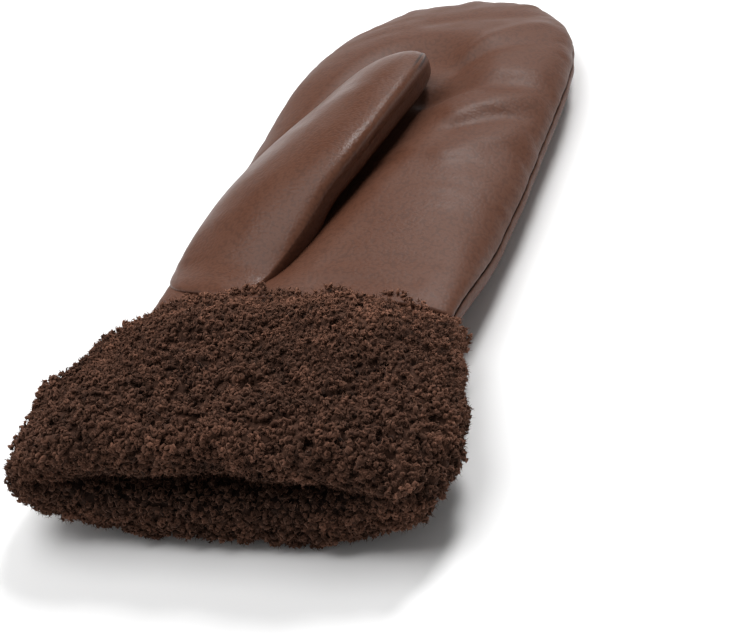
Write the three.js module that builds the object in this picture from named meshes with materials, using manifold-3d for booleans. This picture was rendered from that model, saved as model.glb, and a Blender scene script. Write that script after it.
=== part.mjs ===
import * as THREE from 'three';
import { mergeVertices } from 'three/addons/utils/BufferGeometryUtils.js';
import Module from 'manifold-3d';

// A leather mitten for the left hand. It lies palm up with its thumb folded over the palm, and has a
// wide cuff of curly pile. Millimetres, +Z up, +Y from the wrist to the fingertips. While the pieces
// are shaped, Y = 0 is the seam between leather and cuff and Z = 0 is the surface it lies on.

// Leather hand
const LEATHER_LENGTH = 188;
const LEATHER_WIDTH = 103;
const TIP_LENGTH = 79;
const SEAM_HEIGHT = 14.5;
const PALM_CROWN = 16.5;
const LEATHER_WALL = 2.2;
const SEAM_TUCK = 0.8;
const PUCKER_DEPTH = 0.7;
const WRIST_LIFT = 6;
const WRIST_LIFT_LENGTH = 45;

// Thumb
const THUMB_LENGTH = 124;
const THUMB_WIDTH = 37;
const THUMB_HEIGHT = 17;
const THUMB_LEAN = 13.4;
const THUMB_TILT = 13;
const THUMB_BOW = 6;
const THUMB_SETBACK = 2;
const THUMB_EDGE_DISTANCE = 24.5;
const THUMB_MOUTH_LENGTH = 38;
const THUMB_MOUTH_RISE = 8;
const THUMB_MOUTH_DEPTH = 10;
const NEST_DEPTH = 7;

// Cuff
const CUFF_LENGTH = 74;
const CUFF_WIDTH = 134;
const CUFF_HEIGHT = 43;
const CUFF_LIP = 1;
const OPENING_WIDTH = 104;
const OPENING_HEIGHT = 12;
const LOCK_PITCH = 7.8;
const LOCK_HEIGHT = 3.2;

// Pieces that meet keep this gap
const GAP = 0.3;

// Superellipse powers of the round tip's outline on the two sides
const LEFT_TIP_POWER = 2.6;
const RIGHT_TIP_POWER = 2.35;

// Superellipse powers of the palm's and the back's sections, and how much of the back lies flat
const PALM_POWER = 2.6;
const BACK_POWER = 3;
const BACK_FLATNESS = 1.12;

// Half width of the leather on each side, as shares of half its width, by share of the length
// between the wrist and the start of the round tip
const SIDES = [
  { along: 0.0, left: 0.96, right: 0.97 },
  { along: 0.3, left: 0.975, right: 0.99 },
  { along: 0.65, left: 0.955, right: 1.0 },
  { along: 1.0, left: 0.955, right: 0.985 },
];

// Height of the palm's crown and of the side seam, as shares of their full heights, by share of the
// leather's length
const CROWNS = [
  { along: 0.0, crown: 0.74, seam: 1.0 },
  { along: 0.25, crown: 1.0, seam: 1.0 },
  { along: 0.6, crown: 0.98, seam: 1.0 },
  { along: 1.0, crown: 0.75, seam: 0.62 },
];

// Folds and ridges of the palm. Their ends are shares of half the leather's width and of its length,
// their depth a share of the palm's crown (a ridge has a negative one), and their spread a share of
// half the width.
const PALM_FOLDS = [
  { name: 'valley beside the thumb tip', x0: 0.15, y0: 0.57, x1: 0.92, y1: 0.61, depth: 0.1, spread: 0.11 },
  { name: 'ridge below it', x0: 0.5, y0: 0.49, x1: 0.87, y1: 0.58, depth: -0.05, spread: 0.09 },
  { name: 'second valley', x0: 0.5, y0: 0.45, x1: 0.92, y1: 0.53, depth: 0.05, spread: 0.07 },
  { name: 'ridge at mid palm', x0: 0.55, y0: 0.37, x1: 0.88, y1: 0.46, depth: -0.05, spread: 0.1 },
  { name: 'ridge beside the fingertips', x0: 0.33, y0: 0.71, x1: 0.67, y1: 0.84, depth: -0.05, spread: 0.09 },
  { name: 'valley below it', x0: 0.28, y0: 0.67, x1: 0.76, y1: 0.76, depth: 0.05, spread: 0.07 },
  { name: 'short fold at the tip', x0: -0.1, y0: 0.84, x1: 0.5, y1: 0.87, depth: 0.05, spread: 0.08 },
  { name: 'crease above the cuff', x0: 0.15, y0: 0.035, x1: 0.7, y1: 0.05, depth: 0.045, spread: 0.06 },
  { name: 'crease above the first', x0: 0.15, y0: 0.09, x1: 0.78, y1: 0.105, depth: 0.035, spread: 0.06 },
];

// The palm's hollow under the thumb: half width of its floor and width of its slope, as shares of
// the thumb's width, and the part of the thumb's length that lies in it
const NEST_FLOOR = 0.22;
const NEST_SLOPE = 0.5;
const NEST_START = 0.2;
const NEST_END = 0.97;

// The thumb is thin along its left edge and full along its right one. Its widest level is a share of
// its height, and its base is blunter than its tip.
const THUMB_LEFT_POWER = 1.9;
const THUMB_RIGHT_POWER = 3.2;
const THUMB_BASE_POWER = 12;
const THUMB_TIP_POWER = 11;
const THUMB_WIDEST_LEVEL = 0.5;

// Sections of the thumb by share of its length: width to the left and to the right of its middle
// line and shift of its ridge to the right, as shares of half its width, and height of its top over
// the palm
const THUMB_SECTIONS = [
  { along: 0.0, left: 1.36, right: 0.9, ridge: -0.15, top: 0.28 },
  { along: 0.27, left: 1.36, right: 1.05, ridge: 0.1, top: 0.92 },
  { along: 0.45, left: 1.27, right: 1.25, ridge: 0.42, top: 1.0 },
  { along: 0.62, left: 1.12, right: 1.18, ridge: 0.5, top: 1.0 },
  { along: 0.76, left: 0.97, right: 1.0, ridge: 0.47, top: 0.93 },
  { along: 0.9, left: 0.82, right: 0.75, ridge: 0.38, top: 0.83 },
  { along: 1.0, left: 0.72, right: 0.5, ridge: 0.28, top: 0.72 },
];

// Least height of the thumb's hollow over its widest level
const THUMB_HOLLOW_RISE = 0.3;

// Sections of the cuff by share of its length from the wrist to the front: outer width and height,
// share of that width on the left, and change of the hollow from the leather's to the front opening
const CUFF_SECTIONS = [
  { along: 0.0, width: 0.78, left: 0.975, height: 0.74, open: 0.0 },
  { along: 0.12, width: 0.825, left: 0.95, height: 0.88, open: 0.3 },
  { along: 0.32, width: 0.915, left: 0.95, height: 0.98, open: 0.7 },
  { along: 0.6, width: 0.99, left: 0.985, height: 1.0, open: 1.0 },
  { along: 1.0, width: 0.99, left: 1.0, height: 0.97, open: 1.0 },
];

// Superellipse powers of the cuff's oval sections: fullness of its sides and of its top
const CUFF_SIDE_POWER = 2.35;
const CUFF_TOP_POWER = 2.15;

// Height over the cuff's form of the gaps between locks, of a lock's shoulders and of its top, as
// shares of the lock's height
const LOCK_GAP = -0.45;
const LOCK_SHOULDER = 0.05;
const LOCK_TOP = 0.55;

// Most that a corner of the pile strays in height, as a share of the lock's height, and sideways, as
// a share of the lock's pitch
const LOCK_UNEVENNESS = 0.25;
const LOCK_SHIFT = 0.16;

// Height of the pile that is folded into the hollow, as a share of the pile outside
const FOLDED_PILE_HEIGHT = 0.3;

// Mesh steps
const STRAIGHT_STEPS = 16;
const PUCKERS_PER_SIDE = 6;
const ACROSS_STEPS = 8;
const BACK_ACROSS_STEPS = 6;
const THUMB_STEPS = 22;
const THUMB_SIDES = 22;
const ROLL_STEPS = 8;
const HOLLOW_STEPS = 8;
const END_STEPS = 2;

const LEATHER_COLOUR = 0x6a4c40;
const THUMB_COLOUR = 0x6e4f43;
const BACK_COLOUR = 0x5f4338;
const PILE_COLOUR = 0x3c2821;

const halfWidth = LEATHER_WIDTH / 2;
const tipStart = LEATHER_LENGTH - TIP_LENGTH;
const tipSteps = 2 * PUCKERS_PER_SIDE;

const wasm = await Module();
wasm.setup();

function mix(from, to, share) {
  return from + (to - from) * share;
}

function smooth(share) {
  const held = Math.min(1, Math.max(0, share));
  return held * held * (3 - 2 * held);
}

// Value of one column of a table at a share, eased between its rows
function tableAt(rows, column, share) {
  const held = Math.min(1, Math.max(0, share));
  let index = 0;
  while (index < rows.length - 2 && held > rows[index + 1].along) {
    index += 1;
  }
  const low = rows[index];
  const high = rows[index + 1];
  return mix(low[column], high[column], smooth((held - low.along) / (high.along - low.along)));
}

// A repeatable value between -1 and 1 for a pair of whole numbers
function scatter(first, second) {
  const wave = Math.sin(first * 127.1 + second * 311.7) * 43758.5453;
  return 2 * (wave - Math.floor(wave)) - 1;
}

function distanceToSegment(x, y, x0, y0, x1, y1) {
  const dx = x1 - x0;
  const dy = y1 - y0;
  const share = ((x - x0) * dx + (y - y0) * dy) / (dx * dx + dy * dy);
  const held = Math.min(1, Math.max(0, share));
  return Math.hypot(x - x0 - held * dx, y - y0 - held * dy);
}

// Outline of the leather hand

function tipPower(side) {
  return side < 0 ? LEFT_TIP_POWER : RIGHT_TIP_POWER;
}

function sideWidth(side, y) {
  const column = side < 0 ? 'left' : 'right';
  return halfWidth * tableAt(SIDES, column, y / tipStart);
}

// 0 on the middle line of the hand, 1 on its side seam
function reach(x, y) {
  const power = tipPower(x);
  const across = Math.abs(x) / sideWidth(x, y);
  const beyond = Math.max(0, y - tipStart) / TIP_LENGTH;
  return Math.pow(Math.pow(across, power) + Math.pow(beyond, power), 1 / power);
}

// Plan point of a station along the hand at a signed share of the way to the side seam, with the
// seam line moved inwards by the inset
function planPoint(station, across, inset) {
  const side = across < 0 ? -1 : 1;
  const away = Math.abs(across);
  if (station <= STRAIGHT_STEPS) {
    const y = tipStart * station / STRAIGHT_STEPS;
    return [across * (sideWidth(side, y) - inset), y];
  }
  const turn = (Math.PI / 2) * (station - STRAIGHT_STEPS) / tipSteps;
  const width = sideWidth(side, tipStart) - inset;
  const length = TIP_LENGTH - inset;
  const power = tipPower(side);
  const isTip = station === STRAIGHT_STEPS + tipSteps;
  const edgeX = isTip ? 0 : width * Math.pow(Math.cos(turn), 2 / power);
  const edgeY = length * Math.pow(Math.sin(turn), 2 / power);
  return [across * edgeX, tipStart + away * edgeY];
}

// The seam's stitches pull the leather in at every second station of the round tip
function puckerInset(station) {
  const beyond = station - STRAIGHT_STEPS;
  return beyond > 0 && beyond % 2 === 1 ? PUCKER_DEPTH : 0;
}

// Heights of the leather hand

function wristLift(y) {
  return WRIST_LIFT * (1 - smooth(y / WRIST_LIFT_LENGTH));
}

function seamHeight(y) {
  return SEAM_HEIGHT * tableAt(CROWNS, 'seam', y / LEATHER_LENGTH) + wristLift(y);
}

function palmCrown(y) {
  return PALM_CROWN * tableAt(CROWNS, 'crown', y / LEATHER_LENGTH) - wristLift(y) / 2;
}

function palmProfile(away) {
  return Math.sqrt(Math.max(0, 1 - Math.pow(away, PALM_POWER)));
}

// The back lies flat on the surface over most of its width
function backProfile(away) {
  return Math.min(1, BACK_FLATNESS * Math.sqrt(Math.max(0, 1 - Math.pow(away, BACK_POWER))));
}

const thumbStartX = -halfWidth + THUMB_EDGE_DISTANCE;
const thumbStartY = CUFF_LIP + THUMB_SETBACK;
const leanSin = Math.sin(THREE.MathUtils.degToRad(THUMB_LEAN));
const leanCos = Math.cos(THREE.MathUtils.degToRad(THUMB_LEAN));
const thumbTilt = Math.tan(THREE.MathUtils.degToRad(THUMB_TILT));

// Middle line of the thumb: it leans to the right and bows to the left
function thumbLine(share) {
  const bow = THUMB_BOW * Math.sin(Math.PI * share);
  const x = thumbStartX + THUMB_LENGTH * share * leanSin - bow * leanCos;
  const y = thumbStartY + THUMB_LENGTH * share * leanCos + bow * leanSin;
  return [x, y];
}

// The thumb presses a hollow into the palm where it lies on it
function thumbNest(x, y) {
  const [startX, startY] = thumbLine(NEST_START);
  const [endX, endY] = thumbLine(NEST_END);
  const distance = distanceToSegment(x, y, startX, startY, endX, endY);
  return NEST_DEPTH * (1 - smooth((distance / THUMB_WIDTH - NEST_FLOOR) / NEST_SLOPE));
}

function palmFolds(x, y) {
  let depth = 0;
  for (const fold of PALM_FOLDS) {
    const x0 = fold.x0 * halfWidth;
    const x1 = fold.x1 * halfWidth;
    const y0 = fold.y0 * LEATHER_LENGTH;
    const y1 = fold.y1 * LEATHER_LENGTH;
    const near = distanceToSegment(x, y, x0, y0, x1, y1) / (fold.spread * halfWidth);
    depth += fold.depth * PALM_CROWN * Math.exp(-near * near);
  }
  return depth;
}

// Height of the palm's outer face, or of a face that lies a depth under it
function palmHeight(x, y, away, depth) {
  const profile = palmProfile(away);
  const hollow = (thumbNest(x, y) + palmFolds(x, y)) * profile;
  return seamHeight(y) + GAP / 2 + Math.max(0, (palmCrown(y) - depth) * profile - hollow);
}

function backHeight(y, away, depth) {
  const lift = wristLift(y);
  const drop = seamHeight(y) - lift - depth;
  return lift + depth + (drop - GAP / 2) * (1 - backProfile(away));
}

// Meshes

function geometryFrom(positions) {
  const geometry = new THREE.BufferGeometry();
  geometry.setAttribute('position', new THREE.Float32BufferAttribute(positions, 3));
  return mergeVertices(geometry, 1e-4);
}

// A closed mesh as a solid. Triangles that shrank to a line where rows run together are left out.
function solidFrom(geometry) {
  const index = geometry.index.array;
  const triangles = [];
  for (let at = 0; at < index.length; at += 3) {
    const [a, b, c] = [index[at], index[at + 1], index[at + 2]];
    if (a !== b && b !== c && a !== c) {
      triangles.push(a, b, c);
    }
  }
  const vertProperties = new Float32Array(geometry.attributes.position.array);
  const triVerts = new Uint32Array(triangles);
  return new wasm.Manifold(new wasm.Mesh({ numProp: 3, vertProperties, triVerts }));
}

function addQuad(positions, a, b, c, d) {
  positions.push(...a, ...b, ...c, ...a, ...c, ...d);
}

// A closed layer between an upper and a lower face, each given by station and share across
function layerSolid(upper, lower, acrossSteps) {
  const stations = STRAIGHT_STEPS + tipSteps;
  const shareAt = (step) => Math.sin((Math.PI / 2) * step / acrossSteps);
  const positions = [];
  for (let station = 0; station < stations; station += 1) {
    for (let step = -acrossSteps; step < acrossSteps; step += 1) {
      const near = shareAt(step);
      const far = shareAt(step + 1);
      const next = station + 1;
      addQuad(positions, upper(station, near), upper(station, far), upper(next, far), upper(next, near));
      addQuad(positions, lower(station, near), lower(next, near), lower(next, far), lower(station, far));
    }
    const next = station + 1;
    addQuad(positions, upper(station, -1), upper(next, -1), lower(next, -1), lower(station, -1));
    addQuad(positions, upper(station, 1), lower(station, 1), lower(next, 1), upper(next, 1));
  }
  for (let step = -acrossSteps; step < acrossSteps; step += 1) {
    const near = shareAt(step);
    const far = shareAt(step + 1);
    addQuad(positions, upper(0, near), lower(0, near), lower(0, far), upper(0, far));
  }
  return solidFrom(geometryFrom(positions));
}

// Inset of a face's rim: the turned seam tucks the rim in, and puckers pull it in at the tip
function rimInset(station, across) {
  return Math.abs(across) === 1 ? SEAM_TUCK + puckerInset(station) : 0;
}

function palmPoint(station, across, depth) {
  const [x, y] = planPoint(station, across, depth + rimInset(station, across));
  return [x, y, palmHeight(x, y, Math.abs(across), depth)];
}

function backPoint(station, across, depth) {
  const [x, y] = planPoint(station, across, depth + rimInset(station, across));
  return [x, y, backHeight(y, Math.abs(across), depth)];
}

function makePalm(thumbHollow) {
  const shell = layerSolid(
    (station, across) => palmPoint(station, across, 0),
    (station, across) => palmPoint(station, across, LEATHER_WALL),
    ACROSS_STEPS,
  );
  return shell.subtract(thumbHollow);
}

function makeBack() {
  return layerSolid(
    (station, across) => backPoint(station, across, LEATHER_WALL),
    (station, across) => backPoint(station, across, 0),
    BACK_ACROSS_STEPS,
  );
}

// The filled outer form of the hand, grown by the gap, which the thumb and the cuff are cut back to
function makeGrownHand() {
  const upper = (station, across) => {
    const [, y, z] = palmPoint(station, across, 0);
    const [wideX, wideY] = planPoint(station, across, -GAP);
    return [wideX, station === 0 ? y - GAP : wideY, z + GAP];
  };
  const lower = (station, across) => {
    const [, y, z] = backPoint(station, across, 0);
    const [wideX, wideY] = planPoint(station, across, -GAP);
    return [wideX, station === 0 ? y - GAP : wideY, z - GAP];
  };
  return layerSolid(upper, lower, ACROSS_STEPS);
}

// One ring of the thumb, open or filled: its underside dips into the palm along the mouth and lies
// on the palm beyond it
function thumbPoint(share, turn, inset) {
  const inner = inset / THUMB_LENGTH;
  const along = mix(inner, 1 - inner, share);
  const [x, y] = thumbLine(along);
  const palm = palmHeight(x, y, Math.min(1, reach(x, y)), 0);
  const mouth = 1 - smooth((along * THUMB_LENGTH - THUMB_MOUTH_LENGTH) / THUMB_MOUTH_RISE + 0.5);
  const bottom = palm + 2 * GAP - THUMB_MOUTH_DEPTH * mouth;
  const height = THUMB_HEIGHT * tableAt(THUMB_SECTIONS, 'top', along);
  const widest = palm + height * THUMB_WIDEST_LEVEL;
  const endPower = share < 0.5 ? THUMB_BASE_POWER : THUMB_TIP_POWER;
  const roundEnd = Math.sqrt(Math.max(0, 1 - Math.pow(Math.abs(2 * share - 1), endPower)));
  const cosine = Math.cos(turn);
  const sine = Math.sin(turn);
  const side = cosine < 0 ? 'left' : 'right';
  const fullness = cosine < 0 ? THUMB_LEFT_POWER : THUMB_RIGHT_POWER;
  const halfAcross = (THUMB_WIDTH / 2 * tableAt(THUMB_SECTIONS, side, along) - inset) * roundEnd;
  const rawReach = sine > 0 ? palm + height - widest : widest - bottom;
  const reachUp = Math.max(THUMB_HOLLOW_RISE, rawReach - inset);
  const rise = Math.sign(sine) * Math.pow(Math.abs(sine), 2 / fullness);
  const ridge = THUMB_WIDTH / 2 * tableAt(THUMB_SECTIONS, 'ridge', along) * Math.max(0, rise);
  const across = halfAcross * Math.sign(cosine) * Math.pow(Math.abs(cosine), 2 / fullness) + ridge * roundEnd;
  const up = reachUp * roundEnd * rise;
  return [x + across * leanCos, y - across * leanSin, widest + up + across * thumbTilt];
}

function thumbForm(inset) {
  const positions = [];
  for (let step = 0; step < THUMB_STEPS; step += 1) {
    const near = (1 - Math.cos(Math.PI * step / THUMB_STEPS)) / 2;
    const far = (1 - Math.cos(Math.PI * (step + 1) / THUMB_STEPS)) / 2;
    for (let side = 0; side < THUMB_SIDES; side += 1) {
      const turn = 2 * Math.PI * side / THUMB_SIDES;
      const nextTurn = 2 * Math.PI * ((side + 1) % THUMB_SIDES) / THUMB_SIDES;
      addQuad(
        positions,
        thumbPoint(near, turn, inset),
        thumbPoint(far, turn, inset),
        thumbPoint(far, nextTurn, inset),
        thumbPoint(near, nextTurn, inset),
      );
    }
  }
  return solidFrom(geometryFrom(positions));
}

// A point of a flattened oval round the cuff, between a lowest and a highest level
function ovalPoint(turn, width, low, high, middle, y) {
  const cosine = Math.cos(turn);
  const sine = Math.sin(turn);
  const rise = sine > 0 ? high - middle : middle - low;
  const x = width / 2 * Math.sign(cosine) * Math.pow(Math.abs(cosine), 2 / CUFF_SIDE_POWER);
  const z = middle + rise * Math.sign(sine) * Math.pow(Math.abs(sine), 2 / CUFF_TOP_POWER);
  return new THREE.Vector3(x, y, z);
}

function cuffOuter(turn, y) {
  const along = Math.min(1, Math.max(0, -y / CUFF_LENGTH));
  const sideShare = Math.cos(turn) < 0 ? tableAt(CUFF_SECTIONS, 'left', along) : 1;
  const width = CUFF_WIDTH * tableAt(CUFF_SECTIONS, 'width', along) * sideShare;
  const height = CUFF_HEIGHT * tableAt(CUFF_SECTIONS, 'height', along);
  return ovalPoint(turn, width, 0, height, height / 2, y);
}

function cuffInner(turn, y) {
  const open = tableAt(CUFF_SECTIONS, 'open', -y / CUFF_LENGTH);
  const wristLow = wristLift(0) + LEATHER_WALL;
  const wristHigh = seamHeight(0) + palmCrown(0) - LEATHER_WALL;
  const middle = mix((wristLow + wristHigh) / 2, CUFF_HEIGHT / 2, open);
  const halfHeight = mix((wristHigh - wristLow) / 2, OPENING_HEIGHT / 2, open);
  const width = mix(LEATHER_WIDTH - 4 * LEATHER_WALL, OPENING_WIDTH, open);
  return ovalPoint(turn, width, middle - halfHeight, middle + halfHeight, middle, y);
}

// Turns round the cuff's outer face that set the locks at an even pitch, two turns for each lock
function evenTurns() {
  const fineSteps = 720;
  const lengths = [0];
  for (let step = 1; step <= fineSteps; step += 1) {
    const from = cuffOuter(2 * Math.PI * (step - 1) / fineSteps, -CUFF_LENGTH / 2);
    const to = cuffOuter(2 * Math.PI * step / fineSteps, -CUFF_LENGTH / 2);
    lengths.push(lengths[step - 1] + from.distanceTo(to));
  }
  const girth = lengths[fineSteps];
  const count = 2 * Math.round(girth / LOCK_PITCH);
  const turns = [];
  let step = 0;
  for (let around = 0; around < count; around += 1) {
    const wanted = girth * around / count;
    while (lengths[step + 1] < wanted) {
      step += 1;
    }
    const share = (wanted - lengths[step]) / (lengths[step + 1] - lengths[step]);
    turns.push(2 * Math.PI * (step + share) / fineSteps);
  }
  return turns;
}

// The cuff's wall as a closed loop for each turn: outer face from the lip to the front, the front
// roll, the hollow's face back to the wrist, and the end that the leather is sewn to
function makeCuff(grownHand) {
  const rollLength = (CUFF_HEIGHT - OPENING_HEIGHT) / 4;
  const rollStart = rollLength - CUFF_LENGTH;
  const outerSteps = 2 * Math.round(-rollStart / LOCK_PITCH);
  const loopSteps = outerSteps + ROLL_STEPS + HOLLOW_STEPS + END_STEPS;
  const turns = evenTurns();
  const aroundSteps = turns.length;

  const basePoint = (around, step) => {
    const turn = turns[around];
    if (step <= outerSteps) {
      return cuffOuter(turn, mix(CUFF_LIP, rollStart, step / outerSteps));
    }
    if (step <= outerSteps + ROLL_STEPS) {
      const angle = Math.PI * (step - outerSteps) / ROLL_STEPS;
      const outer = cuffOuter(turn, rollStart);
      const inner = cuffInner(turn, rollStart);
      const point = outer.clone().lerp(inner, (1 - Math.cos(angle)) / 2);
      point.y = rollStart - rollLength * Math.sin(angle);
      return point;
    }
    if (step <= outerSteps + ROLL_STEPS + HOLLOW_STEPS) {
      const share = (step - outerSteps - ROLL_STEPS) / HOLLOW_STEPS;
      return cuffInner(turn, mix(rollStart, -GAP, share));
    }
    const share = (step - outerSteps - ROLL_STEPS - HOLLOW_STEPS) / END_STEPS;
    const point = cuffInner(turn, -GAP).lerp(cuffOuter(turn, CUFF_LIP), share);
    point.y = mix(-GAP, CUFF_LIP, share);
    return point;
  };

  // Locks of pile stand up from the backing at every second corner of every second row, and each
  // such row is shifted by one corner from the one before it
  const lockHeight = (around, step) => {
    if (step % 2 === 0) {
      return around % 2 === 0 ? LOCK_GAP : LOCK_SHOULDER;
    }
    return (around + (step - 1) / 2) % 2 === 0 ? LOCK_SHOULDER : LOCK_TOP;
  };

  const lockPoint = (around, step) => {
    const a = (around + aroundSteps) % aroundSteps;
    const s = (step + loopSteps) % loopSteps;
    const point = basePoint(a, s);
    const pileHeight = s <= outerSteps + ROLL_STEPS / 2 ? 1 : FOLDED_PILE_HEIGHT;
    const nextStep = basePoint(a, (s + 1) % loopSteps);
    const alongLoop = nextStep.sub(basePoint(a, (s + loopSteps - 1) % loopSteps));
    const nextTurn = basePoint((a + 1) % aroundSteps, s);
    const alongTurn = nextTurn.sub(basePoint((a + aroundSteps - 1) % aroundSteps, s));
    const normal = new THREE.Vector3().crossVectors(alongTurn, alongLoop).normalize();
    const height = LOCK_HEIGHT * (lockHeight(a, s) + LOCK_UNEVENNESS * scatter(a, s));
    point.addScaledVector(normal, height * pileHeight);
    point.addScaledVector(alongLoop, LOCK_SHIFT * scatter(a + 7, s) * pileHeight);
    point.addScaledVector(alongTurn, LOCK_SHIFT * scatter(a, s + 5) * pileHeight);
    return [point.x, point.y, Math.max(0, point.z)];
  };

  const positions = [];
  for (let around = 0; around < aroundSteps; around += 1) {
    for (let step = 0; step < loopSteps; step += 1) {
      addQuad(
        positions,
        lockPoint(around, step),
        lockPoint(around + 1, step),
        lockPoint(around + 1, step + 1),
        lockPoint(around, step + 1),
      );
    }
  }
  return solidFrom(geometryFrom(positions)).subtract(grownHand);
}

function meshOf(name, solid, colour, roughness) {
  const { vertProperties, triVerts } = solid.getMesh();
  const geometry = new THREE.BufferGeometry();
  geometry.setAttribute('position', new THREE.BufferAttribute(vertProperties, 3));
  geometry.setIndex(new THREE.BufferAttribute(triVerts, 1));
  geometry.computeVertexNormals();
  const material = new THREE.MeshStandardMaterial({ color: colour, roughness, metalness: 0 });
  const mesh = new THREE.Mesh(geometry, material);
  mesh.name = name;
  return mesh;
}

const grownHand = makeGrownHand();
const thumbHollow = thumbForm(LEATHER_WALL);
const thumbSolid = thumbForm(0).subtract(thumbHollow).subtract(grownHand);

const group = new THREE.Group();
group.add(meshOf('palm_panel', makePalm(thumbHollow), LEATHER_COLOUR, 0.45));
group.add(meshOf('back_panel', makeBack(), BACK_COLOUR, 0.45));
group.add(meshOf('thumb', thumbSolid, THUMB_COLOUR, 0.45));
group.add(meshOf('cuff', makeCuff(grownHand), PILE_COLOUR, 0.95));

// The origin is the middle of the mitten's footprint, on the surface it lies on
const box = new THREE.Box3().setFromObject(group);
const middle = box.getCenter(new THREE.Vector3());
group.position.set(-middle.x, -middle.y, -box.min.z);

export default group;
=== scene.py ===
import math

import bmesh
import bpy
import numpy as np
from mathutils import Matrix, Vector


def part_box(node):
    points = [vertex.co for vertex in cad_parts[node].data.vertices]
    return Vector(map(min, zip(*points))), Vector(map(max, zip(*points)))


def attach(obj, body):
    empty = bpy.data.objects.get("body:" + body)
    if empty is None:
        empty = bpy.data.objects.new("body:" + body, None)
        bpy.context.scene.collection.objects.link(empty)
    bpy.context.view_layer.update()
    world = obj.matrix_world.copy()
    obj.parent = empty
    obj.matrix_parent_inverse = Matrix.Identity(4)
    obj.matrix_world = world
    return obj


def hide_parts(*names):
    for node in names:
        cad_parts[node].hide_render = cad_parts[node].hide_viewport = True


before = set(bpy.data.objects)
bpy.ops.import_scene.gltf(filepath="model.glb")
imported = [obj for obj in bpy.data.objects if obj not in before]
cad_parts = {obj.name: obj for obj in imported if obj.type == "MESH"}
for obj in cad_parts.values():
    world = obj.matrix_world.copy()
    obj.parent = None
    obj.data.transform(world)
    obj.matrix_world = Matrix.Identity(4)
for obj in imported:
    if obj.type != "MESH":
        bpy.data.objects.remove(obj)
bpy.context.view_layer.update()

bl_info = {
    "name": "Leather mitten with a curly pile cuff",
    "version": (1, 0, 0),
    "blender": (4, 5, 0),
    "location": "View3D > Sidebar > Mitten",
    "description": "Builds a leather mitten lying palm up, with its pile cuff, around a fixed frame",
    "category": "Add Mesh",
}

# The turned side seam tucks the leather's rim in, and pieces that meet keep a gap
SEAM_TUCK = 0.0008
GAP = 0.0003

# Place of the hand's middle line at the wrist seam in the frame. While the pieces are shaped it is
# X = 0, Y = 0.
LEATHER_WIDTH = 0.103
BACK_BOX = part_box("back_panel")
WRIST_X = BACK_BOX[1][0] - (LEATHER_WIDTH / 2 - SEAM_TUCK)
WRIST_Y = BACK_BOX[0][1]

# Half width of the leather on each side, as shares of half its width, by share of the length
# between the wrist and the start of the round tip
SIDES = (
    {"along": 0.0, "left": 0.96, "right": 0.97},
    {"along": 0.3, "left": 0.975, "right": 0.99},
    {"along": 0.65, "left": 0.955, "right": 1.0},
    {"along": 1.0, "left": 0.955, "right": 0.985},
)

# Height of the palm's crown and of the side seam, as shares of their full heights, by share of the
# leather's length
CROWNS = (
    {"along": 0.0, "crown": 0.74, "seam": 1.0},
    {"along": 0.25, "crown": 1.0, "seam": 1.0},
    {"along": 0.6, "crown": 0.98, "seam": 1.0},
    {"along": 1.0, "crown": 0.75, "seam": 0.62},
)

# Folds and ridges of the palm. Their ends are shares of half the leather's width and of its length,
# their depth a share of the palm's crown (a ridge has a negative one), and their spread a share of
# half the width.
PALM_FOLDS = (
    {"x0": 0.15, "y0": 0.575, "x1": 0.92, "y1": 0.61, "depth": 0.15, "spread": 0.1},
    {"x0": 0.5, "y0": 0.49, "x1": 0.87, "y1": 0.58, "depth": -0.08, "spread": 0.08},
    {"x0": 0.5, "y0": 0.45, "x1": 0.92, "y1": 0.53, "depth": 0.08, "spread": 0.07},
    {"x0": 0.55, "y0": 0.37, "x1": 0.88, "y1": 0.46, "depth": -0.07, "spread": 0.09},
    {"x0": 0.33, "y0": 0.71, "x1": 0.67, "y1": 0.84, "depth": -0.08, "spread": 0.08},
    {"x0": 0.28, "y0": 0.67, "x1": 0.76, "y1": 0.76, "depth": 0.08, "spread": 0.07},
    {"x0": -0.1, "y0": 0.84, "x1": 0.5, "y1": 0.87, "depth": 0.05, "spread": 0.08},
    {"x0": 0.15, "y0": 0.035, "x1": 0.7, "y1": 0.05, "depth": 0.045, "spread": 0.06},
    {"x0": 0.15, "y0": 0.09, "x1": 0.78, "y1": 0.105, "depth": 0.035, "spread": 0.06},
)

# Sections of the thumb by share of its length: width to the left and to the right of its middle
# line and shift of its ridge to the right, as shares of half its width, height of its top over the
# palm, and superellipse power of its right side
THUMB_SECTIONS = (
    {"along": 0.0, "left": 1.2, "right": 0.6, "ridge": -0.75, "top": 0.26, "power": 1.85},
    {"along": 0.12, "left": 1.29, "right": 0.8, "ridge": -0.5, "top": 0.54, "power": 1.9},
    {"along": 0.27, "left": 1.35, "right": 1.08, "ridge": -0.14, "top": 0.82, "power": 1.95},
    {"along": 0.45, "left": 1.31, "right": 1.25, "ridge": 0.24, "top": 0.99, "power": 2.0},
    {"along": 0.62, "left": 1.21, "right": 1.17, "ridge": 0.38, "top": 1.0, "power": 2.0},
    {"along": 0.76, "left": 1.13, "right": 1.0, "ridge": 0.34, "top": 1.0, "power": 2.0},
    {"along": 0.9, "left": 1.1, "right": 0.8, "ridge": 0.2, "top": 0.98, "power": 2.0},
    {"along": 1.0, "left": 1.06, "right": 0.66, "ridge": 0.0, "top": 0.94, "power": 2.0},
)

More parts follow.
